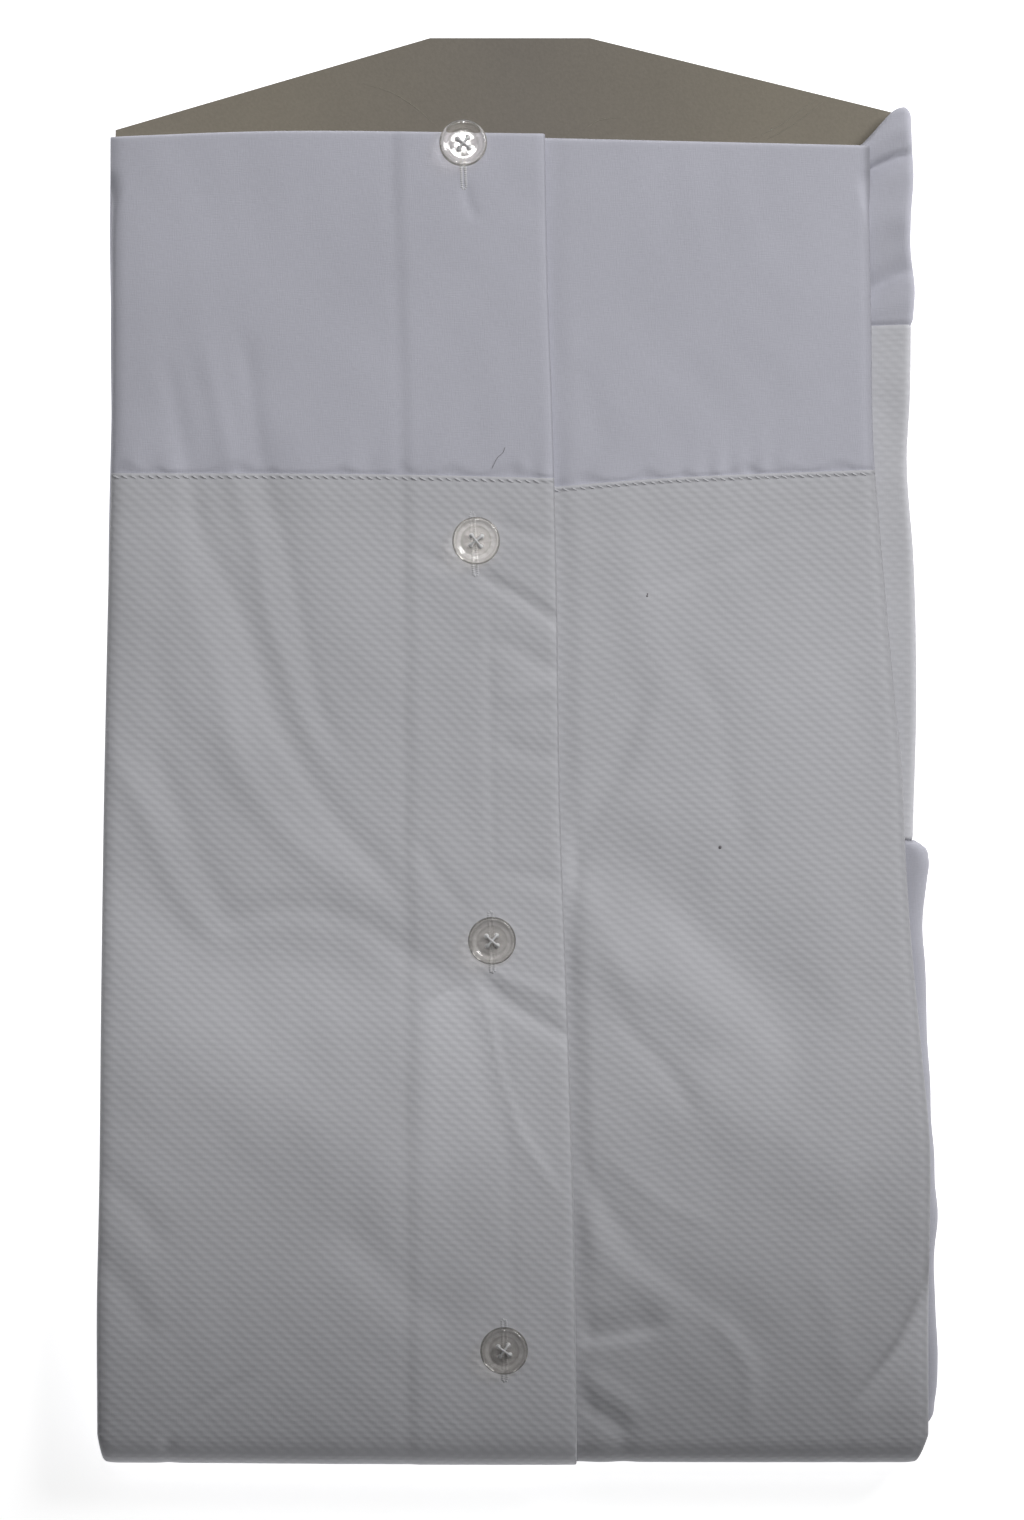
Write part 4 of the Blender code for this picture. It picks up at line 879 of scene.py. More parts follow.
# The sleeve and its double cuff beside the right front: flat tubes, whose outer
# side is a fold; creases are (rise, width, lean, path)
sleeveStrip = {
    "innerX": 74.0,
    "top": 10.6,
    "radius": 1.3,
    "around": 4.1,              # cloth round the side fold
    "length": 51.0,             # of the sleeve, from its seam to the head end
    "sleeveTone": 0.93,
    # painted shade where the sleeve goes into the cuff
    "seamPaintedShade": 0.10,          # how much darker it is where it goes into the cuff
    "cuffTone": 1.03,
    "unevenness": 0.08,
    "seamY": 102.4,
    "seamSlope": 0.035,         # the cuff's seam runs up a little to the right
    "cuffEnd": -21.2,
    "sleeveEdge": [(98.0, 94.6), (102.4, 94.7), (110.8, 95.2), (120.4, 94.2), (130.0, 94.4),
                   (137.2, 94.9), (146.0, 94.5), (153.0, 94.2)],
    "cuffEdge": [(-21.2, 94.7), (17.2, 95.6), (46.0, 94.9), (71.0, 93.3), (84.4, 94.0), (102.4, 94.3)],
    "head": [(74.0, 142.0), (83.9, 146.4), (88.0, 151.0), (91.0, 154.0), (93.0, 154.6), (94.9, 153.6)],
    "sleeveCreases": [
        (-2.6, 1.8, -0.6, [(76, 134), (84, 139.5), (90, 142.5), (101, 146)]),
        (1.0, 2.4, 0.0, [(76, 140), (85, 145.5), (92, 149), (101, 150)]),
        (-2.2, 2.2, 0.6, [(76, 108), (86, 111), (92, 114), (101, 117)]),
        (0.35, 2.2, 0.0, [(76, 105), (86, 106), (92, 108), (101, 109)]),
        (0.9, 4.0, 0.0, [(76, 120), (85, 126), (90, 128), (101, 127)]),
    ],
    "cuffCreases": [
        (-0.4, 5.0, 0.0, [(86, 88), (91, 78), (96, 66)]),
        (0.25, 4.0, 0.0, [(90, 40), (93, 20), (95, 0)]),
    ],
}


# One flat tube of cloth: across it goes out along the top, round the side fold
# and back below; at its ends the round side can shrink towards its middle.
def stripPoints(edge, firstY, lastY, shares, shrink, creases):
    look = sleeveStrip
    edgeX = smoothLine(edge)(firstY(90.0) + (lastY(90.0) - firstY(90.0)) * shares)
    radius = look["radius"] - shrink
    bendX = edgeX - look["radius"]
    angles = math.pi * np.linspace(0.0, 1.0, 11)
    out = np.linspace(0.0, 1.0, 26)[:-1]
    outX = look["innerX"] + (bendX - look["innerX"]) * out
    backX = look["innerX"] + (bendX - look["innerX"]) * np.linspace(1.0, 0.0, 7)[1:]
    x = np.concatenate([outX, bendX + radius * np.sin(angles), backX], axis=1)
    lift = np.concatenate([radius + 0.0 * outX, radius * np.cos(angles), -radius + 0.0 * backX], axis=1)
    clothX = np.concatenate([outX, bendX + radius * angles, 2.0 * bendX + look["around"] - backX], axis=1)
    y = firstY(x) + (lastY(x) - firstY(x)) * shares
    keep = np.clip(0.5 + 0.5 * lift / look["radius"], 0.0, 1.0)
    uneven = creaseHeight(x, y, creases) + unevenness(x, y, look["unevenness"])
    z = look["top"] - look["radius"] + lift + keep * uneven
    return np.stack([x, y, z], axis=-1), np.stack([clothX, y], axis=-1)


# The sleeve runs under the cuff's seam at one end and closes in a quarter of a
# circle at the head; the cuff's ends are drawn in a little.
def makeSleeve():
    look = sleeveStrip
    seam = lambda x: look["seamY"] + look["seamSlope"] * (x - 90.0)
    head = smoothLine(look["head"])
    shares = np.concatenate([np.linspace(-0.06, 0.0, 4)[:-1], np.linspace(0.0, 0.06, 8)[:-1],
                             np.linspace(0.06, 0.97, 46)])[:, None]
    bend = np.radians(np.linspace(10.0, 75.0, 7))[:, None]
    under = 0.55 * (1.0 - softStep((shares + 0.01) / 0.04))
    shrink = np.concatenate([under, look["radius"] * (1.0 - np.cos(bend))])
    shares = np.concatenate([shares, 0.97 + look["radius"] / look["length"] * np.sin(bend)])
    points, cloth = stripPoints(look["sleeveEdge"], seam, head, shares, shrink, look["sleeveCreases"])
    # painted shade where it goes into the cuff
    toneAndPaintedLight = look["sleeveTone"] - look["seamPaintedShade"] * (1.0 - softStep(shares / 0.03))
    sleeve = gridPiece("sleeve", points, cloth, toneAndPaintedLight, plainCotton, flip=True)
    seat(thicken(sleeve), "plain_cotton", "right_sleeve")

    end = lambda x: look["cuffEnd"] + 0.0 * x
    shares = np.concatenate([np.linspace(0.0, 0.99, 124), np.linspace(0.99, 1.0, 5)[1:]])[:, None]
    shrink = 0.18 * softStep((shares - 0.994) / 0.006) + 0.2 * softStep((0.006 - shares) / 0.006)
    points, cloth = stripPoints(look["cuffEdge"], end, lambda x: seam(x) - 0.1, shares, shrink,
                                look["cuffCreases"])
    cuff = gridPiece("cuff", points, cloth, look["cuffTone"], ribbedCotton, flip=True)
    seat(thicken(cuff), "ribbed_cotton", "right_cuff")
    print("sleeve and cuff made")


makeSleeve()

# The plain side of the right front: it bulges round the board's side below the
# cuff. Each row is (along, across, top height, reach inwards).
sidePanel = {
    "rows": [(-162.2, 97.4, 8.2, 0.3), (-160.6, 99.0, 8.9, 0.3), (-155.6, 100.2, 9.1, 0.3),
             (-146.0, 100.7, 9.1, 0.3), (-134.0, 100.4, 9.2, 0.3), (-124.4, 99.8, 9.8, 0.3),
             (-112.4, 100.7, 10.9, 2.0), (-102.8, 100.2, 10.9, 4.0), (-86.0, 99.2, 10.9, 4.0),
             (-71.6, 98.5, 10.9, 4.0), (-50.0, 97.6, 10.9, 4.0), (-42.8, 97.2, 10.9, 4.0),
             (-30.8, 98.1, 10.9, 4.0), (-25.6, 98.5, 10.9, 4.0), (-23.2, 97.8, 10.9, 4.0),
             (-21.6, 95.4, 10.9, 4.0)],
    "bulge": 3.2,
    "lowZ": 2.8,
    "ripple": 0.12,
    # painted shade over the whole panel, whose side faces the lamps
    "toneAndPaintedLight": 0.79,
}


# Half an ellipse from the low edge to the top, then a flat stretch inwards.
def makeSidePanel():
    along, across, top, reach = np.array(sidePanel["rows"]).T
    y = np.linspace(along[0], along[-1], 150)[:, None]
    outer = smoothLine(np.stack([along, across], axis=-1))(y)
    topZ = smoothLine(np.stack([along, top], axis=-1))(y)
    inwards = straightLine(np.stack([along, reach], axis=-1))(y)
    half = 0.5 * (topZ - sidePanel["lowZ"])
    angles = math.pi * np.linspace(-0.5, 0.5, 17)
    wave = sidePanel["ripple"] * windingWave(y, y, 3.1, 17.0, 2.0) * np.cos(angles)
    curveX = outer - sidePanel["bulge"] * (1.0 - np.cos(angles)) + wave
    curveZ = sidePanel["lowZ"] + half * (1.0 + np.sin(angles))
    share = np.linspace(0.0, 1.0, 6)[1:]
    flatX = outer - sidePanel["bulge"] - inwards * share
    x = np.concatenate([curveX, flatX], axis=1)
    z = np.concatenate([curveZ, topZ + 0.0 * flatX], axis=1)
    clothX = np.concatenate([half * (angles + 1.6), half * 3.2 + inwards * share], axis=1)
    points = np.stack([x, y + 0.0 * x, z], axis=-1)
    cloth = np.stack([clothX, y + 0.0 * x], axis=-1)
    panel = gridPiece("sidePanel", points, cloth, sidePanel["toneAndPaintedLight"], plainCotton)
    seat(thicken(panel), "plain_cotton", "right_front_side")
    print("side panel made")


makeSidePanel()

# The hidden layers, one solid with layered edges: back, yoke, left sleeve and
# the parts folded in. Each layer is (low, high, left inset, right inset, inset
# beside the sleeve, head end); a head end of 0 follows the board's shoulders.
layers = {
    "stack": [(1.4, 2.85, 17.0, 15.0, 0.0, 102.7), (2.85, 3.85, 0.5, 0.2, 0.0, 102.7),
              (3.85, 5.15, 0.4, 0.0, 0.0, 0.0), (5.15, 7.65, 0.0, 0.0, 0.0, 143.6),
              (7.65, 9.25, 0.2, 0.1, 20.0, 143.6), (9.25, 10.85, 0.3, 16.8, 5.0, 143.0),
              (10.85, 12.0, 15.0, 17.6, 5.0, 128.0), (12.0, 12.4, 40.0, 40.0, 2.0, 96.0)],
    "left": [(-163.8, -100.6), (-60.0, -99.8), (36.0, -98.3), (67.0, -97.8), (148.0, -97.8)],
    "right": [(-163.8, 95.4), (-112.0, 96.2), (-90.0, 95.4), (-60.0, 94.2), (-42.0, 93.3),
              (-27.0, 92.8), (-16.0, 92.6), (150.0, 92.4)],
    "shoulders": [(-96.4, 149.4), (-20.8, 171.5), (17.6, 171.5), (90.4, 153.6)],
    "shoulderInset": 2.4,
    "footRadius": 4.0,
    "corner": 2.5,
    "ledge": [(-26.5, 0.0), (-22.5, 1.0)],
    "ripple": 0.18,             # how far an edge waves in and out
    "girth": 1060.0,            # once round the pack
    "slot": 0.3,                # clearance round the board
    "boardFoot": -159.0,
    "boardZ": (5.9, 6.9),
}


# Outline of the layers at each level, as rows of points round the pack: four
# sides, with a quarter of an ellipse at each corner.
def layerRing(z, left, right, sleeve, head):
    corner = layers["corner"]
    leftX = lambda y: smoothLine(layers["left"])(y) + left
    rightX = lambda y: (smoothLine(layers["right"])(y) - right
                        - sleeve * straightLine(layers["ledge"])(y))
    shoulder = straightLine(layers["shoulders"])
    headY = lambda x: np.where(head > 0.0, head, shoulder(x) - layers["shoulderInset"])
    rise = layers["footRadius"] ** 2 - (z - pack["midZ"]) ** 2
    footY = pack["footY"] + 1.0 - np.sqrt(np.maximum(rise, 0.0))
    even = lambda start, stop, count: start + (stop - start) * np.linspace(0.0, 1.0, count)
    quarter = 0.5 * math.pi * np.linspace(0.0, 1.0, 6)[1:-1]
    opening, closing = corner * np.sin(quarter), corner - corner * np.cos(quarter)
    rightEnd = headY(rightX(100.0))
    leftEnd = headY(leftX(100.0))
    footLine = even(leftX(footY) + corner, rightX(footY) - corner, 40)
    rightLine = even(footY + corner, rightEnd - corner, 120)
    headLine = even(rightX(rightEnd) - corner, leftX(rightEnd) + corner, 60)
    leftLine = even(leftEnd - corner, footY + corner, 80)
    x = [footLine, rightX(footY) - corner + opening, rightX(rightLine), rightX(rightEnd) - closing,
         headLine, leftX(leftEnd) + corner - opening, leftX(leftLine), leftX(footY) + closing]
    y = [footY + 0.0 * footLine, footY + closing, rightLine, rightEnd - corner + opening,
         headY(headLine), leftEnd - closing, leftLine, footY + corner - opening]
    return np.concatenate(x, axis=1), np.concatenate(y, axis=1)


# Takes one mesh out of another and keeps the result as a plain mesh.
def cutOut(piece, cutter):
    modifier = piece.modifiers.new("cut", "BOOLEAN")
    modifier.operation = "DIFFERENCE"
    modifier.solver = "EXACT"
    modifier.object = cutter
    graph = bpy.context.evaluated_depsgraph_get()
    cut = bpy.data.meshes.new_from_object(piece.evaluated_get(graph))
    piece.modifiers.clear()
    piece.data = cut
    bpy.data.objects.remove(cutter)


# Each layer's edge is half an ellipse between its low and high level, and waves
# in and out a little along the pack, each layer in its own way.
def makeLayers():
    rings = []
    for order, (low, high, left, right, sleeve, head) in enumerate(layers["stack"]):
        t = np.linspace(-0.94, 0.94, 7)[:, None]
        z = 0.5 * (low + high) + 0.5 * (high - low) * t
        inset = 0.5 * (high - low) * (1.0 - np.sqrt(1.0 - t * t))
        x, y = layerRing(z, left + inset, right + inset, sleeve + 0.0 * inset,
                         head - inset * (head > 0.0))
        wave = layers["ripple"] * (1.0 + np.sin(y / 11.0 + 2.3 * order + np.sin(x / 19.0 + order)))
        x = x * (1.0 - wave / pack["halfWidth"])
        rings.append(np.stack([x, y, z + 0.0 * x], axis=-1))
    points = np.concatenate(rings)
    around = np.linspace(0.0, layers["girth"], points.shape[1]) + 0.0 * points[..., 0]
    cloth = np.stack([around, points[..., 2] * 1.5], axis=-1)
    stack = gridPiece("foldedLayers", points, cloth, 0.97, plainCotton, ringed=True)
    gap = layers["slot"]
    xs, ys = np.array(layers["shoulders"]).T
    foot = layers["boardFoot"] - gap
    outline = [(xs[0] - gap, foot), (xs[3] + gap, foot), (xs[3] + gap, ys[3] + gap),
               (xs[2], ys[2] + gap), (xs[1], ys[1] + gap), (xs[0] - gap, ys[0] + gap)]
    low, high = layers["boardZ"]
    slot = np.array([[(x, y, z) for x, y in outline] for z in (low - gap, high + gap)])
    cutOut(stack, joinedPiece("boardSlot", [slot], plainCotton))
    stack.data.shade_smooth()
    stack.data.set_sharp_from_angle(angle=math.radians(60.0))
    seat(stack, "plain_cotton", "folded_layers")
    print("folded layers made")


makeLayers()

# The collar under the head end, pressed flat: half of its outline from the
# middle out, and its layers as (low, high, inset)
collar = {
    "middleX": -1.6,
    "half": [(9.0, 169.6), (22.0, 168.0), (38.0, 162.6), (51.0, 154.6), (59.0, 145.0), (60.0, 136.0),
             (45.5, 113.0), (43.0, 112.6), (20.0, 125.0), (2.0, 134.0)],
    "stack": [(0.0, 1.0, 0.0), (1.0, 1.95, 0.15), (1.95, 2.75, 0.6), (2.75, 3.5, 0.8)],
    "points": 260,
    "smoothings": 3,
}


# The outline drawn in along its own normals, each leaf with a rounded edge.
def makeCollar():
    half = np.array(collar["half"])
    outline = np.concatenate([half[::-1], half * (-1, 1)]) + (collar["middleX"], 0.0)
    closed = np.concatenate([outline, outline[:1]])
    lengths = np.concatenate([[0.0], np.cumsum(np.hypot(*np.diff(closed, axis=0).T))])
    at = np.linspace(0.0, lengths[-1], collar["points"] + 1)[:-1]
    ring = np.stack([np.interp(at, lengths, column) for column in closed.T], axis=-1)
    for _ in range(collar["smoothings"]):
        ring = 0.5 * ring + 0.25 * (np.roll(ring, 1, axis=0) + np.roll(ring, -1, axis=0))
    ahead = np.roll(ring, -1, axis=0) - np.roll(ring, 1, axis=0)
    inward = np.stack([-ahead[:, 1], ahead[:, 0]], axis=-1)
    inward /= np.linalg.norm(inward, axis=1, keepdims=True)
    rows = []
    for low, high, inset in collar["stack"]:
        t = np.linspace(-0.95, 0.95, 6)[:, None]
        z = 0.5 * (low + high) + 0.5 * (high - low) * t
        drawn = inset + 0.5 * (high - low) * (1.0 - np.sqrt(1.0 - t * t))
        flat = ring[None] + inward[None] * drawn[..., None]
        rows.append(np.concatenate([flat, np.broadcast_to(z[..., None], (*flat.shape[:2], 1))], axis=-1))
    points = np.concatenate(rows)
    made = gridPiece("pressedCollar", points, points[..., :2], 1.0, plainCotton, ringed=True)
    made.data.set_sharp_from_angle(angle=math.radians(60.0))
    seat(made, "plain_cotton", "collar")
    print("collar made")


makeCollar()

# Buttons and their buttonholes, in millimetres on the left front
buttons = {
    # radius, height and shade along the turned outline, from the back to the front;
    # the shade is painted: a painted highlight ring on the dish's wall, painted shade
    # on the outer rim and at the foot of the dish
    "profile": [(0.15, 0.1, 0.8), (3.6, 0.02, 0.8), (4.6, 0.15, 0.8), (5.3, 0.5, 0.6), (5.65, 0.9, 0.45),
                (5.75, 1.25, 0.4), (5.68, 1.65, 0.5), (5.5, 1.95, 0.8), (5.25, 2.14, 0.95),
                (5.0, 2.2, 0.85), (4.8, 2.16, 0.75), (4.55, 2.04, 1.0), (4.3, 1.9, 1.1),
                (4.05, 1.76, 1.1), (3.8, 1.62, 1.0), (3.6, 1.53, 0.65), (3.4, 1.48, 0.6),
                (3.1, 1.45, 0.8), (0.15, 1.4, 0.8)],
    # each button's shade is painted light or shade: the second brighter, the third and fourth darker as
    # the light fades towards the foot
    "places": [
        {"node": "button_1", "at": (-12.8, 145.6), "hole": ((-12.9, 143.0), (-12.6, 134.9)),
         "tilt": -9.0, "turn": 8.0, "lift": 0.6, "shade": 1.0},
        {"node": "button_2", "at": (-9.7, 50.5), "hole": ((-10.7, 57.4), (-9.8, 42.2)),
         "tilt": -1.0, "turn": -6.0, "lift": 0.35, "shade": 1.1},
        {"node": "button_3", "at": (-5.9, -45.2), "hole": ((-6.2, -38.4), (-5.7, -52.8)),
         "tilt": 4.0, "turn": 4.0, "lift": 0.5, "shade": 0.79},
        {"node": "button_4", "at": (-3.0, -143.4), "hole": ((-3.0, -136.2), (-2.8, -150.9)),
         "tilt": 5.0, "turn": 10.0, "lift": 0.55, "shade": 0.79},
    ],
    "holeRadius": 0.64,
    "holeOffset": 1.2,
    "wallShade": 0.85,          # of the holes' sides
    "threadRadius": 0.26,
    # half of a strand between two holes: (share of the way out, height)
    "strand": [(1.0, 0.3), (1.0, 1.2), (0.82, 1.52), (0.0, 1.68)],
    "crossing": 0.22,           # how much higher the second strand runs
    "tuft": [(0.5, 0.1), (0.5, 1.2), (0.35, 1.4)],  # bundle of thread in each hole
    # a buttonhole's sewn rim: its stitches swell by a little at their pitch
    "rim": {"across": 0.5, "radius": 0.42, "swell": 0.07, "pitch": 0.5, "flat": 0.45, "sink": 0.1},
}


# Points turned about z by an angle, tilted about x and moved to a place.
def placed(points, look, z):
    turn, tilt = np.radians([look["turn"], look["tilt"]])
    x = points[..., 0] * math.cos(turn) - points[..., 1] * math.sin(turn)
    y = points[..., 0] * math.sin(turn) + points[..., 1] * math.cos(turn)
    up = points[..., 2]
    return np.stack([x + look["at"][0], y * math.cos(tilt) - up * math.sin(tilt) + look["at"][1],
                     y * math.sin(tilt) + up * math.cos(tilt) + z], axis=-1)


# Points of a profile turned about z: radius and height against the angle.
def turnedPoints(profile, sides):
    radius, z = np.array(profile, float).T[:2]
    angles = 2.0 * math.pi * np.arange(sides) / sides
    x = radius[:, None] * np.cos(angles)
    return np.stack([x, radius[:, None] * np.sin(angles), z[:, None] + 0.0 * x], axis=-1)


# Points round a path of given radius: a ring in the plane across the path at
# each of its points, flattened in height.
def tubePoints(path, radius, sides, flat=1.0):
    path = np.array(path, float)
    ahead = np.gradient(path, axis=0)
    ahead /= np.linalg.norm(ahead, axis=1, keepdims=True)
    across = np.cross(ahead, (0.0, 0.0, 1.0))
    size = np.linalg.norm(across, axis=1, keepdims=True)
    across = np.where(size > 1e-3, across / np.maximum(size, 1e-9), (1.0, 0.0, 0.0))
    up = np.cross(across, ahead)
    angles = 2.0 * math.pi * np.arange(sides) / sides
    radius = np.broadcast_to(radius, len(path))[:, None, None]
    ring = (across[:, None] * np.cos(angles)[:, None] + flat * up[:, None] * np.sin(angles)[:, None])
    return path[:, None] + radius * ring


# Clear plastic. Most light goes straight through it to the cloth below, as it
# does through a real button, so its shadow rays are mixed with a plain see-through.
def clearPlastic():
    material, tree, shader = newMaterial("clearPlastic")
    toneAndPaintedLight = addNode(tree, "ShaderNodeAttribute", attribute_name="toneAndPaintedLight").outputs["Fac"]
    tree.links.new(shaded(tree, (0.90, 0.88, 0.85), toneAndPaintedLight), shader.inputs["Base Color"])
    shader.inputs["Roughness"].default_value = 0.06
    shader.inputs["IOR"].default_value = 1.49
    shader.inputs["Transmission Weight"].default_value = 0.85
    through = addNode(tree, "ShaderNodeBsdfTransparent")
    through.inputs["Color"].default_value = (0.84, 0.83, 0.81, 1.0)
    rays = addNode(tree, "ShaderNodeLightPath")
    mix = addNode(tree, "ShaderNodeMixShader")
    tree.links.new(rays.outputs["Is Shadow Ray"], mix.inputs["Fac"])
    tree.links.new(shader.outputs["BSDF"], mix.inputs[1])
    tree.links.new(through.outputs["BSDF"], mix.inputs[2])
    tree.links.new(mix.outputs["Shader"], tree.nodes["Material Output"].inputs["Surface"])
    place = addNode(tree, "ShaderNodeTexCoord").outputs["Object"]
    scuffs = bump(tree, noise(tree, place, 900.0, 2.0), 0.006)
    tree.links.new(scuffs, shader.inputs["Normal"])
    return material


# Sewing thread: a colour shaded and raised by the noise of its fine strands.
def sewingThread(name, colour):
    material, tree, shader = newMaterial(name)
    place = addNode(tree, "ShaderNodeTexCoord").outputs["Object"]
    strands = noise(tree, place, 2500.0, 2.0)
    shade = maths(tree, "MULTIPLY_ADD", strands, 0.2, 0.85)
    tree.links.new(shaded(tree, colour, shade), shader.inputs["Base Color"])
    tree.links.new(bump(tree, strands, 0.03), shader.inputs["Normal"])
    shader.inputs["Roughness"].default_value = 0.75
    return material


clear = clearPlastic()
thread = sewingThread("sewingThread", (0.64, 0.64, 0.67))
buttonThread = sewingThread("buttonThread", (0.76, 0.76, 0.77))


# One button with its four holes, and a cross of thread through them.
def makeButton(number, look):
    x, y = (np.array(value) for value in look["at"])
    z = float(leftHeight(x, y)) + look["lift"]
    body = placed(turnedPoints(buttons["profile"], 56), look, z)
    # the profile's painted highlight ring and painted shade
    shade = np.array(buttons["profile"])[:, 2:]
    button = gridPiece(f"button{number}", body, body[..., :2], shade, clear, ringed=True)
    away = buttons["holeOffset"]
    corners = [(away, away), (-away, away), (-away, -away), (away, -away)]
    rod = turnedPoints([(buttons["holeRadius"], -0.5), (buttons["holeRadius"], 3.0)], 18)
    rods = [placed(rod + (*corner, 0.0), look, z) for corner in corners]
    cutOut(button, joinedPiece("rods", rods, clear))
    toneAndPaintedLight = button.data.attributes["toneAndPaintedLight"].data
    values = np.empty(len(toneAndPaintedLight), np.float32)
    toneAndPaintedLight.foreach_get("value", values)
    # the holes' new sides come without a shade
    # each button's painted light or shade
    values = look["shade"] * np.where(values < 0.3, buttons["wallShade"], values)
    toneAndPaintedLight.foreach_set("value", values.astype(np.float32))
    button.data.shade_smooth()
    button.data.set_sharp_from_angle(angle=math.radians(40.0))
    seat(button, "clear_button", look["node"])

    strands = []
    for order, (cornerX, cornerY) in enumerate(corners[:2]):
        half = [(share, height + (share < 1.0) * order * buttons["crossing"])
                for share, height in buttons["strand"]]
        whole = half + [(-share, height) for share, height in half[-2::-1]]
        path = roundedPath([(share * cornerX, share * cornerY, height) for share, height in whole])
        strands.append(placed(tubePoints(path, buttons["threadRadius"], 9), look, z))
    tuft = turnedPoints(buttons["tuft"], 14)
    strands += [placed(tuft + (*corner, 0.0), look, z) for corner in corners]
    seat(joinedPiece(f"buttonThread{number}", strands, buttonThread), "clear_button")


# A buttonhole: a flat rim of close stitches, a ring on a long narrow loop whose
# thickness swells at each stitch.
def makeButtonhole(number, look):
    (x0, y0), (x1, y1) = look["hole"]
    rim = buttons["rim"]
    half = rim["across"]
    reach = math.hypot(x1 - x0, y1 - y0)
    length = reach - 2.0 * half
    arc = math.pi * half
    run = np.linspace(0.0, 2.0 * (length + arc), 420)
    down = np.clip(run, 0.0, length)
    bend = np.clip(run - length, 0.0, arc) / half
    up = np.clip(run - length - arc, 0.0, length)
    over = np.clip(run - 2.0 * length - arc, 0.0, arc) / half
    across = half * np.cos(bend + over)
    along = half + down - up + half * (np.sin(bend) - np.sin(over))
    ux, uy = (x1 - x0) / reach, (y1 - y0) / reach
    x = x0 + ux * along - uy * across
    y = y0 + uy * along + ux * across
    z = leftHeight(x, y) - rim["sink"]
    radius = rim["radius"] + rim["swell"] * np.sin(2.0 * math.pi * run / rim["pitch"])
    ring = tubePoints(np.stack([x, y, z], axis=-1), radius, 8, flat=rim["flat"])
    seat(joinedPiece(f"buttonhole{number}", [ring], thread), "plain_cotton")


for number, look in enumerate(buttons["places"], 1):
    makeButton(number, look)
    makeButtonhole(number, look)
print("buttons and buttonholes made")

# Sewing on the bibs' folded edge: short slanting stitches
stitching = {"pitch": 2.1, "length": 1.5, "slant": 0.35, "radius": 0.2, "inset": 0.95}


# A row of stitches along a bib's edge: each is a short tube that slants across
# the line and whose ends taper and dip.
def makeStitches(name, front, height, first, last):
    middle = np.arange(first, last, stitching["pitch"])
    seamY = smoothLine(front["seam"])
    share = np.linspace(-0.5, 0.5, 5)[:, None]
    x = middle + share * stitching["length"]
    y = seamY(x) - stitching["inset"] - 2.0 * share * stitching["slant"]
    z = height(x, y) + shape["seamLift"] + 0.03 - 0.25 * share ** 2
    grids = [tubePoints(np.stack([x[:, i], y[:, i], z[:, i]], axis=-1),
                        stitching["radius"] * (1.0 - 2.4 * share[:, 0] ** 2), 6)
             for i in range(len(middle))]
    seat(joinedPiece(name, grids, thread), "ribbed_cotton")


makeStitches("leftStitches", leftFront, leftHeight, -96.0, 6.6)
makeStitches("rightStitches", rightFront, rightHeight, 9.6, 83.6)
print("stitches made")

# A loose thread on the plain cloth and two specks on the ribbed one
litter = {
    "thread": [(-2.8, 72.9), (-3.3, 71.6), (-4.6, 70.4), (-5.9, 67.9)],
    "threadRadius": 0.05,
    "specks": [(48.8, -22.9, 0.42), (31.3, 37.3, 0.26), (31.4, 37.8, 0.2)],
}


# The thread is a thin tube on a soft path, a speck a flattened ball.
def makeLitter():
    material, _, shader = newMaterial("greyLint")
    shader.inputs["Base Color"].default_value = (0.20, 0.19, 0.20, 1.0)
    shader.inputs["Roughness"].default_value = 0.9
    x, y = np.array(litter["thread"]).T
    path = roundedPath(np.stack([x, y, leftHeight(x, y) + 0.12], axis=-1))
    grids = [tubePoints(path, litter["threadRadius"], 6)]
    for x, y, radius in litter["specks"]:
        z = float(rightHeight(np.array(x), np.array(y)))
        turn = np.linspace(0.05, math.pi - 0.05, 8)
        ball = np.stack([radius * np.sin(turn), -0.5 * radius * np.cos(turn)], axis=-1)
        grids.append(turnedPoints(ball, 12) + (x, y, z))
    seat(joinedPiece("lint", grids, material), "plain_cotton")
    print("lint made")


makeLitter()

# The grey board keeps its solid and gets the look of uncoated board
board = {
    "colour": (0.268, 0.240, 0.192),
    "middleColour": (0.232, 0.210, 0.180),
    "fleck": 0.22,
    "cloud": 0.16,
    "scratchRadius": 0.09,
    "scratches": [[(-37.0, 160.6), (-30.0, 158.4), (-24.0, 154.6), (-18.6, 149.8)],
                  [(16.0, 149.4), (20.0, 151.8), (26.4, 152.6)],
                  [(57.0, 147.4), (64.0, 151.0), (72.0, 156.8)],
                  [(60.0, 147.0), (66.0, 150.4), (73.6, 156.0)]],
}


# Grey board: two greys, the duller one in a window along its middle, with flecks.
def greyBoard():
    material, tree, shader = newMaterial("greyBoard")
    place = addNode(tree, "ShaderNodeTexCoord").outputs["Object"]
    mix = addNode(tree, "ShaderNodeMix", data_type="RGBA")
    tree.links.new(window(tree, axesOf(tree, place)["X"], 0.0, 0.06), mix.inputs["Factor"])
    mix.inputs["A"].default_value = (*board["colour"], 1.0)
    mix.inputs["B"].default_value = (*board["middleColour"], 1.0)
    flecks = noise(tree, place, 1400.0, 3.0)
    clouds = noise(tree, place, 40.0, 4.0)
    fleckShade = maths(tree, "MULTIPLY_ADD", flecks, board["fleck"], 1.0 - 0.5 * board["fleck"])
    shade = maths(tree, "MULTIPLY_ADD", clouds, board["cloud"], -0.5 * board["cloud"])
    shade = maths(tree, "ADD", fleckShade, shade)
    colour = shaded(tree, mix.outputs["Result"], shade)
    tree.links.new(colour, shader.inputs["Base Color"])
    tree.links.new(bump(tree, flecks, 0.05), shader.inputs["Normal"])
    shader.inputs["Roughness"].default_value = 0.85
    return material


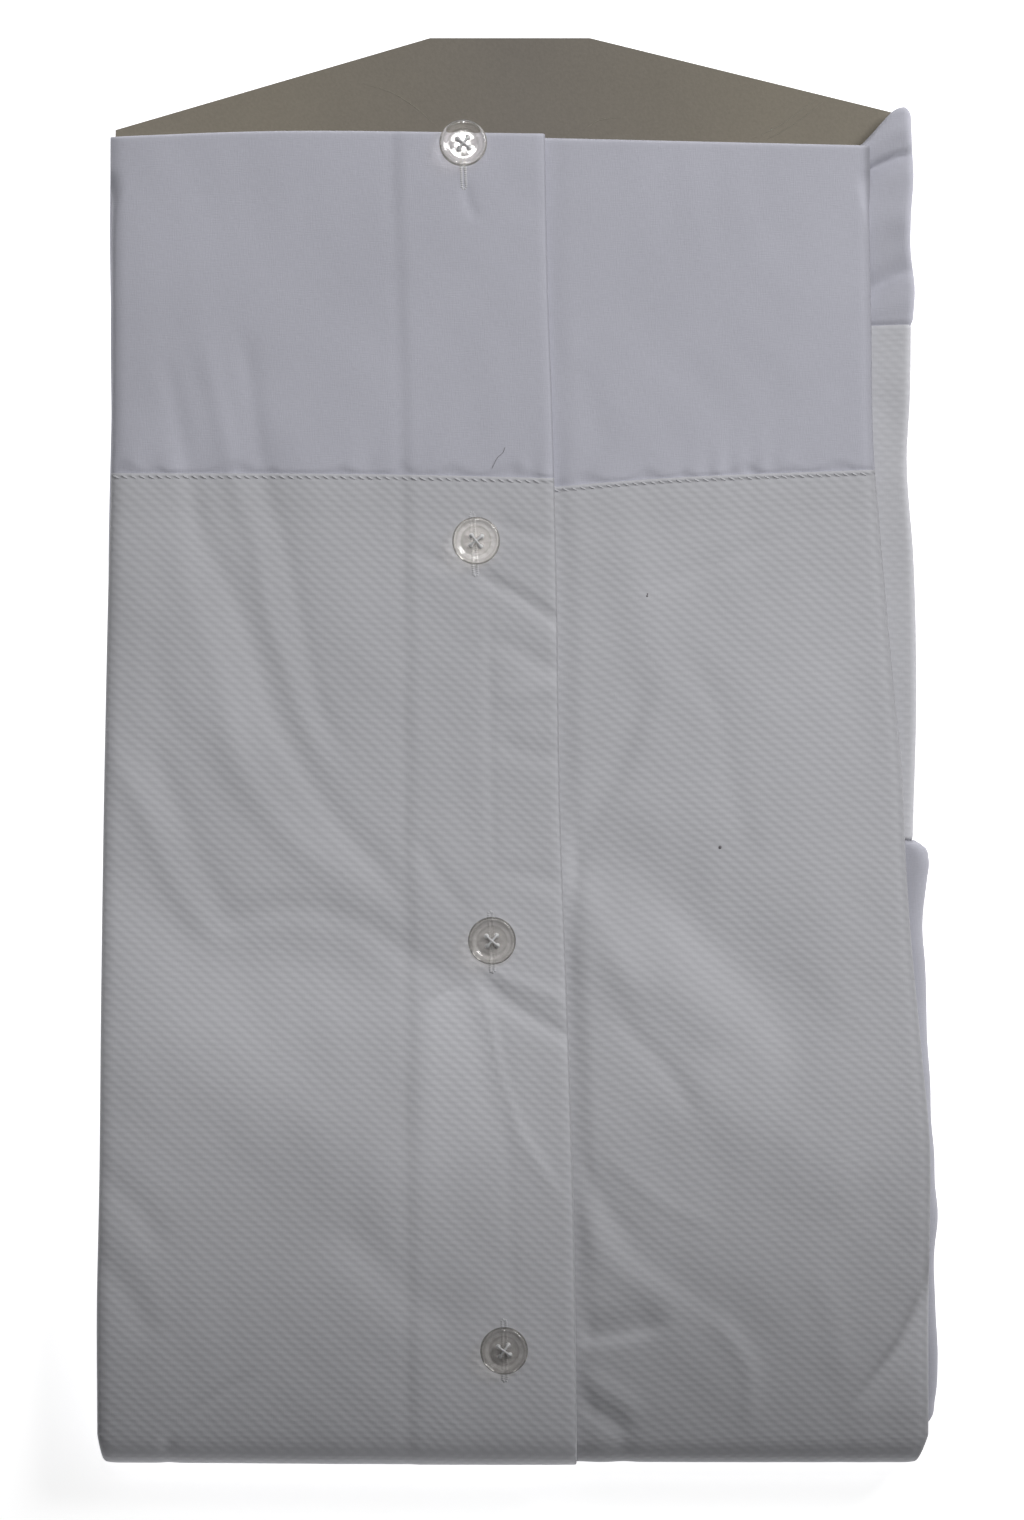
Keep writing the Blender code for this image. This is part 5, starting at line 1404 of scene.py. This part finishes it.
# The board's material, and its scratches, flat tubes that taper to their ends.
def makeBoardLook():
    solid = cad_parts["packing_board"]
    grey = greyBoard()
    for spot in solid.material_slots:
        spot.material = grey
    topZ = layers["boardZ"][1]
    grids = []
    for scratch in board["scratches"]:
        path = roundedPath([(x, y, topZ + 0.02) for x, y in scratch])
        taper = board["scratchRadius"] * np.sin(math.pi * np.linspace(0.06, 0.94, len(path)))
        grids.append(tubePoints(path, taper, 6, flat=0.5))
    material, _, shader = newMaterial("scratchedBoard")
    shader.inputs["Base Color"].default_value = (0.30, 0.28, 0.23, 1.0)
    shader.inputs["Roughness"].default_value = 0.8
    seat(joinedPiece("boardScratches", grids, material), "grey_board")
    print("board finished")


makeBoardLook()

# Camera straight above, so far off that the pack's sides hardly show
camera = {
    "middle": (-1.1, -2.0),
    "topZ": 11.0,
    "frameLength": 364.8,       # millimetres of the pack along the picture's long side
    "lens": 300.0,
    "sensor": 36.0,
}


# Its distance is the frame's length times the lens over the sensor.
def makeCamera():
    data = bpy.data.cameras.new("camera")
    data.lens = camera["lens"]
    data.sensor_width = camera["sensor"]
    distance = camera["frameLength"] * camera["lens"] / camera["sensor"]
    eye = bpy.data.objects.new("camera", data)
    x, y = np.array(camera["middle"]) - pack["middle"]
    eye.location = (x * mm, y * mm, (camera["topZ"] + distance) * mm)
    bpy.context.scene.collection.objects.link(eye)
    bpy.context.scene.camera = eye


# Soft studio light: a soft box at the right of the head end, and from beyond the
# head end a spot whose pool of light fades at the foot; round them a dim world
lights = {
    "box": {"kind": "AREA", "place": (0.95, 0.75, 0.75), "aim": (0.0, 0.0, 0.0), "power": 9.6,
            "size": 0.5},
    "spot": {"kind": "SPOT", "place": (0.0, 1.0, 2.8), "aim": (0.0, 0.09, 0.0), "power": 105.0,
             "size": 0.06, "cone": 8.5, "blend": 0.15, "stretch": 1.8},
    "world": 0.075,
    "floorColour": (0.84, 0.84, 0.84),
    "floorGlow": 0.82,
    "floorHalf": 1.5,
    "floorZ": -0.0002,
}


# A lamp turned so that its beam goes from its place to its aim.
def makeLight(name, look):
    data = bpy.data.lights.new(name, look["kind"])
    data.energy = look["power"]
    lamp = bpy.data.objects.new(name, data)
    if look["kind"] == "AREA":
        data.size = look["size"]
    else:
        data.spot_size = math.radians(look["cone"])
        data.spot_blend = look["blend"]
        data.shadow_soft_size = look["size"]
        lamp.scale = (look["stretch"], 1.0, 1.0)
    lamp.location = look["place"]
    aim = np.array(look["aim"]) - look["place"]
    level = math.hypot(aim[0], aim[1])
    heading = math.atan2(aim[1], aim[0]) - 0.5 * math.pi
    lamp.rotation_euler = (math.atan2(level, -aim[2]), 0.0, heading)
    bpy.context.scene.collection.objects.link(lamp)


# A square floor that glows a little, and the dim room round it.
def makeStage():
    material, _, shader = newMaterial("paleFloor")
    shader.inputs["Base Color"].default_value = (*lights["floorColour"], 1.0)
    shader.inputs["Roughness"].default_value = 0.95
    shader.inputs["Emission Color"].default_value = (1.0, 1.0, 1.0, 1.0)
    shader.inputs["Emission Strength"].default_value = lights["floorGlow"]
    half = lights["floorHalf"]
    corners = np.array([(-half, -half, 0.0), (half, -half, 0.0), (half, half, 0.0), (-half, half, 0.0)])
    floor = newPiece("floor", corners + (0.0, 0.0, lights["floorZ"]), [(0, 1, 2, 3)], material)
    world = bpy.data.worlds.new("softRoom")
    world.use_nodes = True
    world.node_tree.nodes["Background"].inputs["Color"].default_value = (0.97, 0.98, 1.0, 1.0)
    world.node_tree.nodes["Background"].inputs["Strength"].default_value = lights["world"]
    bpy.context.scene.world = world
    bpy.context.scene.view_settings.view_transform = "Standard"


makeCamera()
makeLight("box", lights["box"])
makeLight("spot", lights["spot"])
makeStage()
print("camera, lights and floor made")
